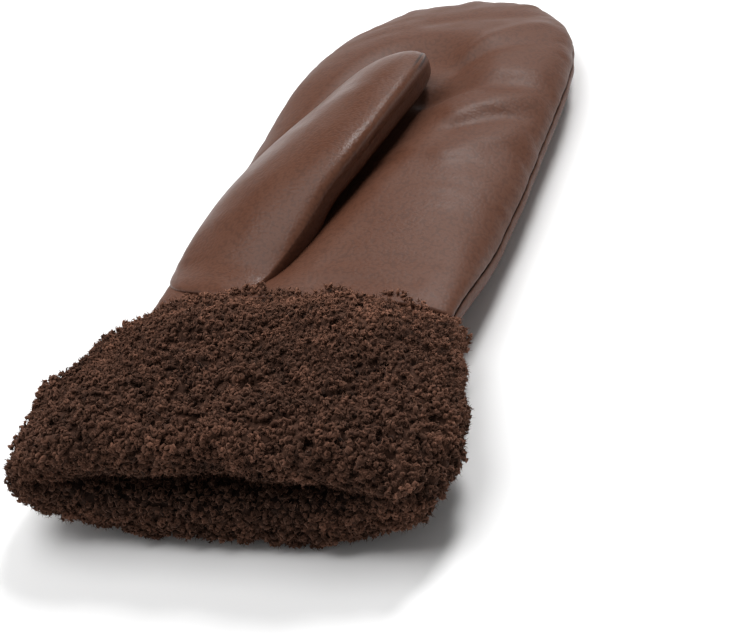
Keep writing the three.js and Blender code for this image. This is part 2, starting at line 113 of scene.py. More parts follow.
# Sections of the cuff by share of its length from the wrist to the front: outer width and height,
# share of that width on the left, and change of the hollow from the leather's to the front opening
CUFF_SECTIONS = (
    {"along": 0.0, "width": 0.77, "left": 0.975, "height": 0.7, "open": 0.0},
    {"along": 0.12, "width": 0.825, "left": 0.95, "height": 0.87, "open": 0.3},
    {"along": 0.32, "width": 0.915, "left": 0.95, "height": 0.98, "open": 0.7},
    {"along": 0.6, "width": 0.99, "left": 0.985, "height": 1.0, "open": 1.0},
    {"along": 1.0, "width": 0.99, "left": 1.0, "height": 0.97, "open": 1.0},
)

# Superellipse powers of outlines and sections, and how much of the back lies flat
LEFT_TIP_POWER = 2.6
RIGHT_TIP_POWER = 2.35
PALM_POWER = 2.6
BACK_POWER = 3.0
BACK_FLATNESS = 1.12
THUMB_LEFT_POWER = 1.9
THUMB_LOW_POWER = 3.3
THUMB_BASE_POWER = 12.0
THUMB_END_POWER = 8.0
THUMB_WIDEST_LEVEL = 0.5

# Turns round the thumb at which its ridge and the open end of its seam lie, the share of its length
# from which that seam shows, the seam's rise, and the spread of that rise and of its lines round the
# thumb
THUMB_RIDGE_TURN = 0.9
THUMB_SEAM_TURN = 0.62
THUMB_SEAM_START = 0.84
THUMB_SEAM_RISE = 0.0003
THUMB_SEAM_SPREAD = 0.14
THUMB_SEAM_LINES_SPREAD = 0.3

# Share of the thumb's tilt that the right side of its base and its underside have, and the share of
# its length over which the base gives way
BASE_TILT = 0.1
UNDERSIDE_TILT = 0.8
UNTILTED_LENGTH = 0.45

# Superellipse powers of the cuff's oval sections: fullness of its sides and of its top
CUFF_SIDE_POWER = 2.35
CUFF_TOP_POWER = 2.15

# Soft unevenness of the leather: layers of noise, each with its height, the size of its features and
# its seed
PALM_UNEVENNESS = (
    {"height": 0.00035, "size": 0.026, "seed": 1},
    {"height": 0.00012, "size": 0.009, "seed": 2},
)
BACK_UNEVENNESS = ({"height": 0.0003, "size": 0.02, "seed": 21},)
THUMB_UNEVENNESS = (
    {"height": 0.0003, "size": 0.02, "seed": 31},
    {"height": 0.00012, "size": 0.007, "seed": 32},
)

# Streaks of small folds: noise with features of one size along each axis, turned about Z. Those of
# the wrist and of the tip lie on these shares of the hand's length.
WRIST_STREAKS_LENGTH = 0.186
TIP_STREAKS_START = 0.718
TIP_STREAKS_GROWTH = 0.16
PALM_SIDE_STREAKS = {"height": 0.0003, "size": (0.02, 0.0034, 1.0), "turn": 0.15, "seed": 3}
PALM_WRIST_STREAKS = {"height": 0.00022, "size": (0.016, 0.0026, 1.0), "turn": -0.12, "seed": 4}
PALM_TIP_STREAKS = {"height": 0.00028, "size": (0.03, 0.0042, 1.0), "turn": 0.35, "seed": 5}
BACK_STREAKS = {"height": 0.0002, "size": (0.02, 0.004, 1.0), "turn": 0.2, "seed": 22}
THUMB_BASE_STREAKS = {"height": 0.0002, "size": (0.014, 0.003, 0.02), "turn": -0.4, "seed": 33}

# Lines of the palm beside which it is streaked or finely wrinkled, with the same columns as its
# folds, and the strength of the wrinkles
SIDE_STREAK_LINE = {"x0": 0.194, "y0": 0.372, "x1": 0.874, "y1": 0.558, "spread": 0.505}
WRINKLE_LINES = (
    {"x0": 0.0, "y0": 0.117, "x1": 0.583, "y1": 0.16, "spread": 0.272, "strength": 0.8},
    {"x0": 0.388, "y0": 0.558, "x1": 0.874, "y1": 0.574, "spread": 0.272, "strength": 0.6},
)
WRIST_WRINKLE_STRENGTH = 0.5
WRIST_WRINKLE_START = 0.0266
WRIST_WRINKLE_LENGTH = 0.1064

# Pull of the seam: its stitches' height and spread, and the gathers between them. A gather's spread is
# a share of the way to the middle, its slant a share of the width, and it grows from a start station.
STITCH_HEIGHT = 0.00004
STITCH_SPREAD = 0.05
SEAM_GATHERS = (
    {"height": 0.0004, "size": 0.006, "seed": 11, "slant": 0.0, "start": 0.9, "growth": 0.3, "spread": 0.13},
    {"height": 0.00022, "size": 0.0034, "seed": 12, "slant": 0.5, "start": 0.1, "growth": 0.5, "spread": 0.1},
)

# Height of the fine wrinkles and depth of the thumb seam's lines beside the leather's grain, and the
# pitches along and across a wrinkle
WRINKLE_HEIGHT = 0.8
SEAM_LINE_DEPTH = 1.0
WRINKLE_LENGTH = 0.002
WRINKLE_PITCH = 0.0007

# Size of the leather's mottling and depth of its grain, and the finish of each piece of leather
MOTTLE_SIZE = 0.022
GRAIN_DEPTH = 0.00018
LEATHERS = {
    "back_leather": {"pebble_size": 0.00115, "pebble_depth": 0.6, "roughness": 0.52, "specular": 0.15},
    "palm_leather": {"pebble_size": 0.0011, "pebble_depth": 0.5, "roughness": 0.5, "specular": 0.19},
    "thumb_leather": {"pebble_size": 0.0011, "pebble_depth": 0.5, "roughness": 0.35, "specular": 0.16},
}

# Steps of the meshes: along the hand and round its tip, across half of it and over the lip, then along
# and round the thumb, then round the cuff and over its outside, its roll and its hollow
BACK_STEPS = {"straight_steps": 70, "tip_steps": 70, "across_steps": 32, "lip_steps": 5}
PALM_STEPS = {"straight_steps": 110, "tip_steps": 90, "across_steps": 50, "lip_steps": 5}
THUMB_STEPS = 170
THUMB_SIDES = 130
CUFF_SIDES = 280
CUFF_STEPS = {"outside": 56, "roll": 24, "hollow": 30}

# Share of the leather's wall that the shown panels take, distance of corners that are joined, and
# step on a surface over which its normals are taken
PANEL_WALL_SHARE = 0.8
JOINED_DISTANCE = 2e-6
NORMAL_STEP = 1e-3

# Reach of a knob of pile as a share of the distance between knobs, share of its height at which the
# cuff's form lies, and size of the knobs and depth of the gaps at the wrist as shares of those round
# the front
KNOB_REACH = 0.78
KNOB_MIDDLE = 0.7
SMALL_KNOB_SHARE = 0.6
SMALL_GAP_SHARE = 0.5

# Layers of noise of the pile: the heights of its clumps as shares of the gaps' depth, its straying
# over the leather, its lighter and darker patches, and the scale of its curls
CLUMP_LAYERS = ({"height": 0.5, "size": 0.0085, "seed": 42}, {"height": 0.4, "size": 0.021, "seed": 43})
FRINGE_LAYERS = ({"height": 1.2, "size": 0.008, "seed": 53}, {"height": 0.8, "size": 0.003, "seed": 54})
PATCH_LAYERS = ({"height": 0.5, "size": 0.009, "seed": 56}, {"height": 0.35, "size": 0.0045, "seed": 57})
SCALE_LAYERS = ({"height": 0.2, "size": 0.006, "seed": 55},)

# The pile in the hollow: how far in it reaches, how much more it swells underneath and over what
# height that begins, how dark its painted shade gets, and the share of its gaps' depth that it keeps
HOLLOW_PILE_LENGTH = 0.016
UNDERSIDE_SWELLING = 1.4
UNDERSIDE_BLEND = 0.004
HOLLOW_DARKNESS = 0.96
HOLLOW_ROUGHNESS = 0.4

# Where the pile changes on the cuff's loop, which runs from 0 at the wrist to 1 over the outside, to 2
# round the front roll and to 3 back through the hollow
CHANGES = {
    "fringe_ends": {"start": 0.0, "length": 0.08},
    "clumps_begin": {"start": 0.0, "length": 0.07},
    # Painted shade round the front
    "shaded_front": {"start": 0.1, "length": 0.6},
    "large_knobs": {"start": 0.3, "length": 0.5},
    "large_curls": {"start": 0.35, "length": 0.6},
    "hollow_begins": {"start": 1.5, "length": 0.4},
    # Painted shade deepening into the hollow
    "hollow_shade_deepens": {"start": 1.58, "length": 0.26},
    "swelling_ends": {"start": 2.12, "length": 0.2},
}

# Place on the loop of the first row of curls
FIRST_CURL_PLACE = 0.005

# Lightness of the pile, mostly painted light and shade: painted shade between the knobs and painted
# light on their tops, and how sharply it rises to them, painted light at the wrist and painted shade
# round the front, painted light on the fringe over the leather, and its spread from curl to curl. Then
# what the ground has of it, and what a curl and a fibre gain towards their tips over the painted shade
# at their roots.
GAP_LIFT = 0.01
KNOB_LIFT = 0.56
KNOB_SHARPNESS = 2.4
WRIST_LIGHTNESS = 1.2
FRONT_LIGHTNESS = 0.52
FRINGE_LIFT = 0.12
LIFT_SPREAD = (-0.1, 0.14)
GROUND_LIFT = 0.3
CURL_LIFT = 0.3
FUZZ_LIFT = 0.22

# Scale and depth of the pile's bump, on the ground between the curls and on the curls themselves
GROUND_FIBRES = {"fibre_scale": 900.0, "fibre_depth": 0.0008}
CURL_FIBRES = {"fibre_scale": 2600.0, "fibre_depth": 0.0002}

# Joined pieces of the curls, one for each quarter turn round the cuff
CURL_PIECES = ("curls_right_top", "curls_left_top", "curls_left_under", "curls_right_under")

# How far the ground lies under the clumps' height, how far the curls' roots do, and the roots' rise at
# the wrist
GROUND_DEPTH = 0.0013
ROOT_DEPTH = 0.0009
ROOT_RISE_AT_WRIST = 0.0014

# Scale of the curls at the wrist and round the front, how much they stand off the cuff beside leaning
# out of their knob, and height of the lowest strands in strand radii
CURL_SCALES = (0.85, 1.05)
CURL_UPRIGHTNESS = 0.6
LOWEST_STRAND = 0.4

# Rings and sides of a curl's tube, how much its loop and its strand narrow to its end, its stretch
# along its axis in curl radii, and ranges from which its measures are drawn: the slant of its axis,
# its turns, and its other measures as shares of the curl's or of the strand's radius
CURL_RINGS = 7
CURL_SIDES = 4
LOOP_TAPER = 0.45
STRAND_TAPER = 0.55
CURL_STRETCH = 0.9
CURL_RANGES = {
    "slant": (0.1, 1.35),
    "radius": (0.65, 1.35),
    "turns": (1.05, 1.6),
    "rise": (0.5, 1.5),
    "thickness": (0.75, 1.25),
    "ring": (0.82, 1.2),
}

# Fine fibres on each curl of the pile, share of the curls that stray as large loops, and the scales of
# their loops and strands
FIBRES_PER_CURL = 12
STRAY_SHARE = 0.02
STRAY_SCALE = 1.9
STRAY_THICKNESS = 0.6

# How much a fine fibre stands off the cuff and strays beside pointing out of its strand, and its length
FUZZ_UPRIGHTNESS = 0.6
FUZZ_STRAY = 0.7
FUZZ_LENGTHS = (0.4, 1.25)

# The palm's hollow under the thumb, in shares of the thumb's width and length
NEST_FLOOR = 0.24
NEST_LEFT_SLOPE = 0.48
NEST_RIGHT_SLOPE = 0.62
NEST_START = 0.2
NEST_END = 0.97

# Distance of the thumb's mouth from the thumb's sides and end, and from its base
MOUTH_MARGIN = 0.006
MOUTH_START = 0.008

# Square lights of the soft studio: place, side length and power in watts
LIGHTS = (
    {"name": "key_light", "place": (0.35, 1.2, 1.8), "size": 0.55, "power": 34.0},
    {"name": "top_light", "place": (-0.5, -0.1, 1.95), "size": 1.5, "power": 34.0},
    {"name": "back_light", "place": (-0.1, 1.9, 1.2), "size": 1.6, "power": 9.0},
    {"name": "side_light", "place": (-1.6, -0.3, 1.0), "size": 1.2, "power": 4.0},
    {"name": "fill_light", "place": (1.4, -0.8, 0.7), "size": 1.2, "power": 1.5},
)
WORLD_STRENGTH = 0.21
FLOOR_SIZE = 6.0

# The photograph's camera: its angles in degrees, its distance from what it looks at, that target's
# place from the wrist seam's middle, and its focal length in pixels of the photograph
CAMERA_AZIMUTH = 30.6
CAMERA_ELEVATION = 36.3
CAMERA_ROLL = -19.3
CAMERA_DISTANCE = 0.634
CAMERA_TARGET = (0.0148, 0.01567, 0.00735)
FOCAL_PIXELS = 2098.0
IMAGE_WIDTH = 740.0
SENSOR_WIDTH = 36.0


def length_property(label, description, default):
    return bpy.props.FloatProperty(
        name=label, description=description, default=default, min=0.0, precision=4, unit="LENGTH"
    )


def colour_property(label, description, default):
    return bpy.props.FloatVectorProperty(
        name=label, description=description, default=default, size=4, min=0.0, max=1.0, subtype="COLOR"
    )


class MittenSizes(bpy.types.PropertyGroup):
    leather_length: length_property(
        "Leather length", "Wrist seam to fingertips", BACK_BOX[1][1] - BACK_BOX[0][1] + SEAM_TUCK
    )
    leather_width: length_property("Leather width", "Width over the hand", LEATHER_WIDTH)
    tip_length: length_property("Tip length", "Length of the round tip", 0.079)
    seam_height: length_property("Seam height", "Height of the side seam over the surface", 0.0145)
    palm_crown: length_property("Palm crown", "Rise of the palm over the side seam", 0.0165)
    wall: length_property("Leather wall", "Thickness of the leather", 0.0022)
    wrist_lift: length_property("Wrist lift", "How far the cuff lifts the wrist off the surface", 0.006)
    wrist_lift_length: length_property("Wrist lift length", "Length over which the lift fades", 0.045)
    lip: length_property("Seam lip", "Radius of the rounded edges along the turned seam", 0.0009)
    pucker_pitch: length_property("Pucker pitch", "Distance between the seam's small puckers", 0.0052)
    thumb_length: length_property("Thumb length", "Base seam to thumb tip", 0.1248)
    thumb_width: length_property("Thumb width", "Full width of the thumb", 0.037)
    thumb_height: length_property("Thumb height", "Height of the thumb over the palm", 0.017)
    thumb_lean: bpy.props.FloatProperty(
        name="Thumb lean", description="Lean of the thumb to the right", default=math.radians(13.4),
        subtype="ANGLE",
    )
    thumb_tilt: bpy.props.FloatProperty(
        name="Thumb tilt", description="Roll of the thumb, right side up", default=math.radians(13.0),
        subtype="ANGLE",
    )
    thumb_bow: length_property("Thumb bow", "Bow of the thumb's middle line to the left", 0.006)
    thumb_setback: length_property("Thumb setback", "Wrist seam to the thumb's base", 0.0022)
    thumb_edge: length_property("Thumb edge distance", "Left edge of the hand to the thumb's line", 0.0245)
    mouth_length: length_property("Mouth length", "Length over which the thumb opens into the hand", 0.038)
    mouth_rise: length_property("Mouth rise", "Length over which its underside rises", 0.03)
    mouth_depth: length_property("Mouth depth", "How far its underside dips into the hand", 0.01)
    nest_depth: length_property("Nest depth", "How far the thumb presses into the palm", 0.007)
    cuff_length: length_property("Cuff length", "Wrist seam to the cuff's front", 0.074)
    cuff_width: length_property("Cuff width", "Outer width of the cuff without its pile", 0.134)
    cuff_height: length_property("Cuff height", "Outer height of the cuff without its pile", 0.043)
    cuff_lip: length_property("Cuff lip", "How far the cuff laps over the leather", 0.001)
    opening_width: length_property("Opening width", "Width of the cuff's hollow", 0.104)
    opening_height: length_property("Opening height", "Height of the cuff's hollow", 0.012)
    knob_size: length_property("Knob size", "Distance between the knobs of pile round the front", 0.0048)
    gap_depth: length_property("Gap depth", "Depth of the gaps between the knobs", 0.0038)
    hollow_pile: length_property("Hollow pile", "Extra height of the pile just inside the opening", 0.0022)
    fringe: length_property("Fringe", "How far the pile strays over the leather", 0.003)
    curl_pitch: length_property("Curl pitch", "Distance between single curls", 0.0016)
    curl_radius: length_property("Curl radius", "Radius of a curl", 0.00074)
    strand_radius: length_property("Strand radius", "Radius of a curl's strand", 0.0005)
    fuzz_length: length_property("Fuzz length", "Length of the fine fibres on the curls", 0.0013)
    fuzz_width: length_property("Fuzz width", "Width of a fine fibre at its root", 0.00017)


class MittenColours(bpy.types.PropertyGroup):
    leather: colour_property("Leather", "Main colour of the leather", (0.086, 0.0335, 0.0188, 1.0))
    leather_worn: colour_property("Worn leather", "Lighter, greyer leather", (0.098, 0.043, 0.0268, 1.0))
    # Deep leather: the grain's pores, the thumb's dark seam lines and the painted shade where the panels'
    # rims turn in at the seam
    leather_dark_and_shade: colour_property("Deep leather", "Leather in creases and seams", (0.016, 0.007, 0.005, 1.0))
    # Nearly black: painted shade between the curls and at their roots
    pile_gap_shade: colour_property("Pile roots", "Colour between the curls", (0.006, 0.0032, 0.0024, 1.0))
    pile_lit: colour_property("Pile tips", "Colour of the curls' tips", (0.24, 0.112, 0.072, 1.0))
    floor: colour_property("Floor", "Colour of the floor", (0.86, 0.86, 0.86, 1.0))


# Plain mathematics


def mix(start, end, share):
    return start + (end - start) * share


def smooth(share):
    held = np.clip(share, 0.0, 1.0)
    return held * held * (3.0 - 2.0 * held)


def bell(distance, spread):
    return np.exp(-((distance / spread) ** 2))


def curve_at(rows, column, share):
    """Value of a table's column at a share of the length, on a smooth curve through its rows."""
    places = np.array([row["along"] for row in rows])
    values = np.array([row[column] for row in rows])
    slopes = np.gradient(values, places)
    held = np.clip(share, places[0], places[-1])
    index = np.clip(np.searchsorted(places, held, side="right") - 1, 0, len(rows) - 2)
    length = places[index + 1] - places[index]
    part = (held - places[index]) / length
    start = values[index] * (1.0 + 2.0 * part) * (1.0 - part) ** 2
    end = values[index + 1] * part**2 * (3.0 - 2.0 * part)
    bend = slopes[index] * part * (1.0 - part) ** 2 - slopes[index + 1] * part**2 * (1.0 - part)
    return start + end + length * bend


def table_at(rows, column, share):
    """Value of a table's column at a share of the length, eased between its rows."""
    value = np.full(np.shape(share), rows[0][column], dtype=float)
    for low, high in zip(rows, rows[1:]):
        step = smooth((np.asarray(share) - low["along"]) / (high["along"] - low["along"]))
        value = value + (high[column] - low[column]) * step
    return value


def segment_distance(x, y, x0, y0, x1, y1):
    dx = x1 - x0
    dy = y1 - y0
    share = np.clip(((x - x0) * dx + (y - y0) * dy) / (dx * dx + dy * dy), 0.0, 1.0)
    return np.hypot(x - x0 - share * dx, y - y0 - share * dy)


def lattice_value(cells, seed):
    """A repeatable value between -1 and 1 for each whole-numbered cell."""
    mixed = cells[..., 0] * 73856093 ^ cells[..., 1] * 19349663 ^ cells[..., 2] * 83492791 ^ seed * 2654435
    mixed = (mixed ^ (mixed >> 13)) * 1274126177
    mixed = mixed ^ (mixed >> 16)
    return (mixed & 0xFFFF) / 32767.5 - 1.0


def noise(points, size, seed):
    """Smooth noise between -1 and 1 with features of a given size, or of one size along each axis."""
    scaled = points / np.asarray(size)
    cell = np.floor(scaled).astype(np.int64)
    part = smooth(scaled - cell)
    total = np.zeros(points.shape[:-1])
    for corner in range(8):
        step = np.array((corner & 1, (corner >> 1) & 1, corner >> 2))
        weight = np.prod(np.where(step == 1, part, 1.0 - part), axis=-1)
        total += weight * lattice_value(cell + step, seed)
    return total


def layers(rows, points):
    """Sum of a table's layers of noise."""
    return sum(row["height"] * noise(points, row["size"], row["seed"]) for row in rows)


def streaks(row, points):
    """One layer of noise whose long features run in the row's direction."""
    return row["height"] * noise(turned(points, row["turn"]), row["size"], row["seed"])


def nearest_knot(points, size, seed):
    """Step from each point to the nearest of a net of strayed knots, and its length, as shares of the
    knots' size."""
    scaled = points / size
    cell = np.floor(scaled).astype(np.int64)
    best = np.full(points.shape, 9.0)
    nearest = np.full(points.shape[:-1], 99.0)
    for corner in range(27):
        neighbour = cell + np.array((corner % 3 - 1, corner // 3 % 3 - 1, corner // 9 - 1))
        strays = [0.5 + 0.42 * lattice_value(neighbour, seed + axis) for axis in range(3)]
        step = neighbour + np.stack(strays, axis=-1) - scaled
        distance = np.linalg.norm(step, axis=-1)
        closer = distance < nearest
        nearest = np.where(closer, distance, nearest)
        best = np.where(closer[..., None], step, best)
    return best, nearest


def turned(points, angle):
    """Points turned about Z, so that streaks of noise can run in any direction."""
    cosine, sine = math.cos(angle), math.sin(angle)
    x = points[..., 0] * cosine + points[..., 1] * sine
    y = -points[..., 0] * sine + points[..., 1] * cosine
    return np.stack((x, y, points[..., 2]), axis=-1)


def unit(vectors):
    return vectors / np.maximum(np.linalg.norm(vectors, axis=-1, keepdims=True), 1e-12)


# Form of the leather hand


def tip_start(sizes):
    return sizes.leather_length - sizes.tip_length


def side_width(sizes, x, y):
    share = y / tip_start(sizes)
    shares = np.where(x < 0, table_at(SIDES, "left", share), table_at(SIDES, "right", share))
    return sizes.leather_width / 2 * shares


def tip_power(x):
    return np.where(x < 0, LEFT_TIP_POWER, RIGHT_TIP_POWER)


def reach(sizes, x, y):
    """0 on the middle line of the hand, 1 on its side seam."""
    power = tip_power(x)
    across = np.abs(x) / side_width(sizes, x, y)
    beyond = np.maximum(0.0, y - tip_start(sizes)) / sizes.tip_length
    return (across**power + beyond**power) ** (1.0 / power)


def plan_point(sizes, station, across, inset):
    """Plan point at a station, 0 to 1 before the tip and 1 to 2 round it, and at a signed share of
    the way to the side seam."""
    start = tip_start(sizes)
    y_straight = np.clip(station, 0.0, 1.0) * start
    turn = np.clip(station - 1.0, 0.0, 1.0) * math.pi / 2
    power = tip_power(across)
    width = side_width(sizes, across, y_straight) - inset
    edge_x = width * np.maximum(np.cos(turn), 0.0) ** (2.0 / power)
    edge_y = (sizes.tip_length - inset) * np.sin(turn) ** (2.0 / power)
    return across * edge_x, y_straight + np.abs(across) * edge_y


def wrist_lift(sizes, y):
    return sizes.wrist_lift * (1.0 - smooth(y / sizes.wrist_lift_length))


def seam_height(sizes, y):
    return sizes.seam_height * table_at(CROWNS, "seam", y / sizes.leather_length) + wrist_lift(sizes, y)


def crown_height(sizes, y):
    share = table_at(CROWNS, "crown", y / sizes.leather_length)
    return sizes.palm_crown * share - wrist_lift(sizes, y) / 2


def palm_profile(away):
    return np.sqrt(np.maximum(0.0, 1.0 - away**PALM_POWER))


def back_profile(away):
    return np.minimum(1.0, BACK_FLATNESS * np.sqrt(np.maximum(0.0, 1.0 - away**BACK_POWER)))


def thumb_line(sizes, share):
    """Middle line of the thumb in plan: it leans to the right and bows to the left."""
    bow = sizes.thumb_bow * np.sin(math.pi * share)
    sine, cosine = math.sin(sizes.thumb_lean), math.cos(sizes.thumb_lean)
    x = sizes.thumb_edge - sizes.leather_width / 2 + sizes.thumb_length * share * sine - bow * cosine
    y = sizes.thumb_setback + sizes.thumb_length * share * cosine + bow * sine
    return x, y


def thumb_nest(sizes, x, y):
    """Depth of the hollow that the thumb presses into the palm."""
    start = thumb_line(sizes, NEST_START)
    end = thumb_line(sizes, NEST_END)
    distance = segment_distance(x, y, start[0], start[1], end[0], end[1])
    length = math.hypot(end[0] - start[0], end[1] - start[1])
    to_right = ((x - start[0]) * (end[1] - start[1]) - (y - start[1]) * (end[0] - start[0])) / length
    slope = mix(NEST_LEFT_SLOPE, NEST_RIGHT_SLOPE, smooth(to_right / sizes.thumb_width + 0.5))
    return sizes.nest_depth * (1.0 - smooth((distance / sizes.thumb_width - NEST_FLOOR) / slope))


def beside_line(sizes, x, y, row):
    """1 on a line of the palm given by a table's row, fading to 0 over the row's spread."""
    half, length = sizes.leather_width / 2, sizes.leather_length
    near = segment_distance(
        x, y, row["x0"] * half, row["y0"] * length, row["x1"] * half, row["y1"] * length
    )
    return bell(near, row["spread"] * half)


def palm_folds(sizes, x, y):
    return sizes.palm_crown * sum(row["depth"] * beside_line(sizes, x, y, row) for row in PALM_FOLDS)


def palm_height(sizes, x, y, away):
    """Height of the palm's plain outer face, without its fine wrinkles."""
    profile = palm_profile(away)
    hollow = (thumb_nest(sizes, x, y) + palm_folds(sizes, x, y)) * profile
    rise = np.maximum(0.0, (crown_height(sizes, y) - sizes.lip) * profile - hollow)
    return seam_height(sizes, y) + GAP / 2 + sizes.lip + rise


def palm_wrinkles(sizes, x, y):
    """Fine relief of the palm: soft unevenness, and streaks beside the thumb, by the wrist and at the
    tip."""
    flat = np.stack((x, y, np.zeros(np.shape(x))), axis=-1)
    share = y / sizes.leather_length
    by_wrist = 1.0 - smooth(share / WRIST_STREAKS_LENGTH)
    at_tip = smooth((share - TIP_STREAKS_START) / TIP_STREAKS_GROWTH)
    relief = layers(PALM_UNEVENNESS, flat)
    relief += streaks(PALM_SIDE_STREAKS, flat) * beside_line(sizes, x, y, SIDE_STREAK_LINE)
    relief += streaks(PALM_WRIST_STREAKS, flat) * by_wrist
    relief += streaks(PALM_TIP_STREAKS, flat) * at_tip
    return relief


def seam_puckers(sizes, arc, away, station):
    """Pull of the seam's stitches, largest at the round tip and fading towards the palm."""
    wave = np.cos(2 * math.pi * arc / sizes.pucker_pitch)
    pull = STITCH_HEIGHT * wave * bell(1.0 - away, STITCH_SPREAD)
    for row in SEAM_GATHERS:
        slanted = arc + row["slant"] * sizes.leather_width * (1.0 - away)
        places = np.stack((slanted, np.zeros_like(arc), np.zeros_like(arc)), axis=-1)
        grown = smooth((station - row["start"]) / row["growth"])
        pull += layers((row,), places) * grown * bell(1.0 - away, row["spread"])
    return pull


def leather_grid(sizes, straight_steps, tip_steps, across_steps, lip_steps):
    """Stations, shares across and lip turns of a panel's mesh, and the seam length at each corner."""
    straight = np.linspace(0.0, 1.0, straight_steps, endpoint=False)
    station = np.concatenate((straight, 1.0 + np.linspace(0.0, 1.0, tip_steps)))
    inside = np.sin(np.linspace(-math.pi / 2, math.pi / 2, 2 * across_steps + 1))
    lip = np.linspace(0.0, math.pi / 2, lip_steps + 1)[1:]
    across = np.concatenate((np.full(lip_steps, -1.0), inside, np.full(lip_steps, 1.0)))
    turn = np.concatenate((lip[::-1], np.zeros(inside.size), lip))
    arc = np.zeros((station.size, across.size))
    for side in (-1.0, 1.0):
        x, y = plan_point(sizes, station, np.full(station.size, side), 0.0)
        steps = np.hypot(np.diff(x), np.diff(y))
        length = np.concatenate(((0.0,), np.cumsum(steps)))
        from_tip = length[-1] - length
        arc += np.where(np.sign(across)[None, :] == side, from_tip[:, None], 0.0)
    station, across = np.meshgrid(station, across, indexing="ij")
    turn = np.broadcast_to(turn, station.shape)
    return station, across, turn, arc


def turned_rim_shade(grid):
    """Where a panel's rim turns in at the seam: a mask of painted shade in the seam's groove."""
    return smooth((grid[2] - 0.5) / 0.9)


def panel_points(sizes, grid, is_palm):
    """Outer face of the palm or of the back, with the rounded lip that turns in at the seam."""
    station, across, turn, arc = grid
    away = np.abs(across)
    pucker = seam_puckers(sizes, arc, away, station)
    lip_inset = sizes.lip * (1.0 - np.cos(turn))
    inset = lip_inset - pucker * away
    x, y = plan_point(sizes, station, across, inset)
    fall = sizes.lip * np.sin(turn)
    if is_palm:
        z = palm_height(sizes, x, y, away) - fall
        fade = palm_profile(away) ** 0.5
        z = z + palm_wrinkles(sizes, x, y) * fade + pucker * 0.8 * smooth((1.0 - away) / 0.02)
    else:
        profile = back_profile(away)
        lift = wrist_lift(sizes, y)
        drop = seam_height(sizes, y) - GAP / 2 - sizes.lip - lift
        z = lift + drop * (1.0 - profile) + fall
        flat = np.stack((x, y, np.ones_like(x)), axis=-1)
        relief = layers(BACK_UNEVENNESS, flat) + streaks(BACK_STREAKS, flat)
        z = np.maximum(z + np.abs(relief) * (1.0 - profile), 0.0)
    return np.stack((x, y, z), axis=-1)


# Meshes


def to_frame(points):
    """From the shaping frame, which starts at the wrist seam, to the object's frame."""
    return points + np.array((WRIST_X, WRIST_Y, 0.0))


def grid_quads(rows, columns, wrap_rows=False, wrap_columns=False):
    """Corner numbers of a grid's quads, with the last row or column joined to the first if asked."""
    row = np.arange(rows if wrap_rows else rows - 1)
    column = np.arange(columns if wrap_columns else columns - 1)
    row, column = np.meshgrid(row, column, indexing="ij")
    next_row = (row + 1) % rows
    next_column = (column + 1) % columns
    corners = (
        row * columns + column,
        row * columns + next_column,
        next_row * columns + next_column,
        next_row * columns + column,
    )
    return np.stack(corners, axis=-1).reshape(-1, 4)


def new_piece(name, points, faces, material, values=None):
    """A smooth mesh object from arrays of corners and faces, with named values at its corners."""
    points = np.ascontiguousarray(to_frame(points.reshape(-1, 3)), dtype=np.float32)
    faces = np.ascontiguousarray(faces, dtype=np.int32)
    sides = faces.shape[1]
    mesh = bpy.data.meshes.new(name)
    mesh.vertices.add(len(points))
    mesh.vertices.foreach_set("co", points.ravel())
    mesh.loops.add(faces.size)
    mesh.loops.foreach_set("vertex_index", faces.ravel())
    mesh.polygons.add(len(faces))
    mesh.polygons.foreach_set("loop_start", np.arange(0, faces.size, sides, dtype=np.int32))
    mesh.polygons.foreach_set("use_smooth", np.ones(len(faces), dtype=bool))
    for label, value in (values or {}).items():
        value = np.ascontiguousarray(value, dtype=np.float32)
        is_vector = value.size == 3 * len(points)
        attribute = mesh.attributes.new(label, "FLOAT_VECTOR" if is_vector else "FLOAT", "POINT")
        attribute.data.foreach_set("vector" if is_vector else "value", value.ravel())
    mesh.update(calc_edges=True)
    mesh.validate()
    mesh.materials.append(material)
    piece = bpy.data.objects.new(name, mesh)
    bpy.context.scene.collection.objects.link(piece)
    return piece


def merge_corners(piece):
    """Joins corners that lie together, such as those of a grid that runs to a point."""
    work = bmesh.new()
    work.from_mesh(piece.data)
    bmesh.ops.remove_doubles(work, verts=work.verts, dist=JOINED_DISTANCE)
    bmesh.ops.dissolve_degenerate(work, edges=work.edges, dist=JOINED_DISTANCE / 10)
    work.to_mesh(piece.data)
    work.free()
    piece.data.update()


def thicken(piece, thickness):
    """Gives a leather face its wall, inwards, and closes its rims."""
    modifier = piece.modifiers.new("wall", "SOLIDIFY")
    modifier.thickness = thickness
    modifier.offset = -1.0
    modifier.use_rim = True
    modifier.use_even_offset = False
    bpy.context.view_layer.objects.active = piece
    piece.select_set(True)
    bpy.ops.object.modifier_apply(modifier=modifier.name)
    piece.select_set(False)


# Form of the thumb


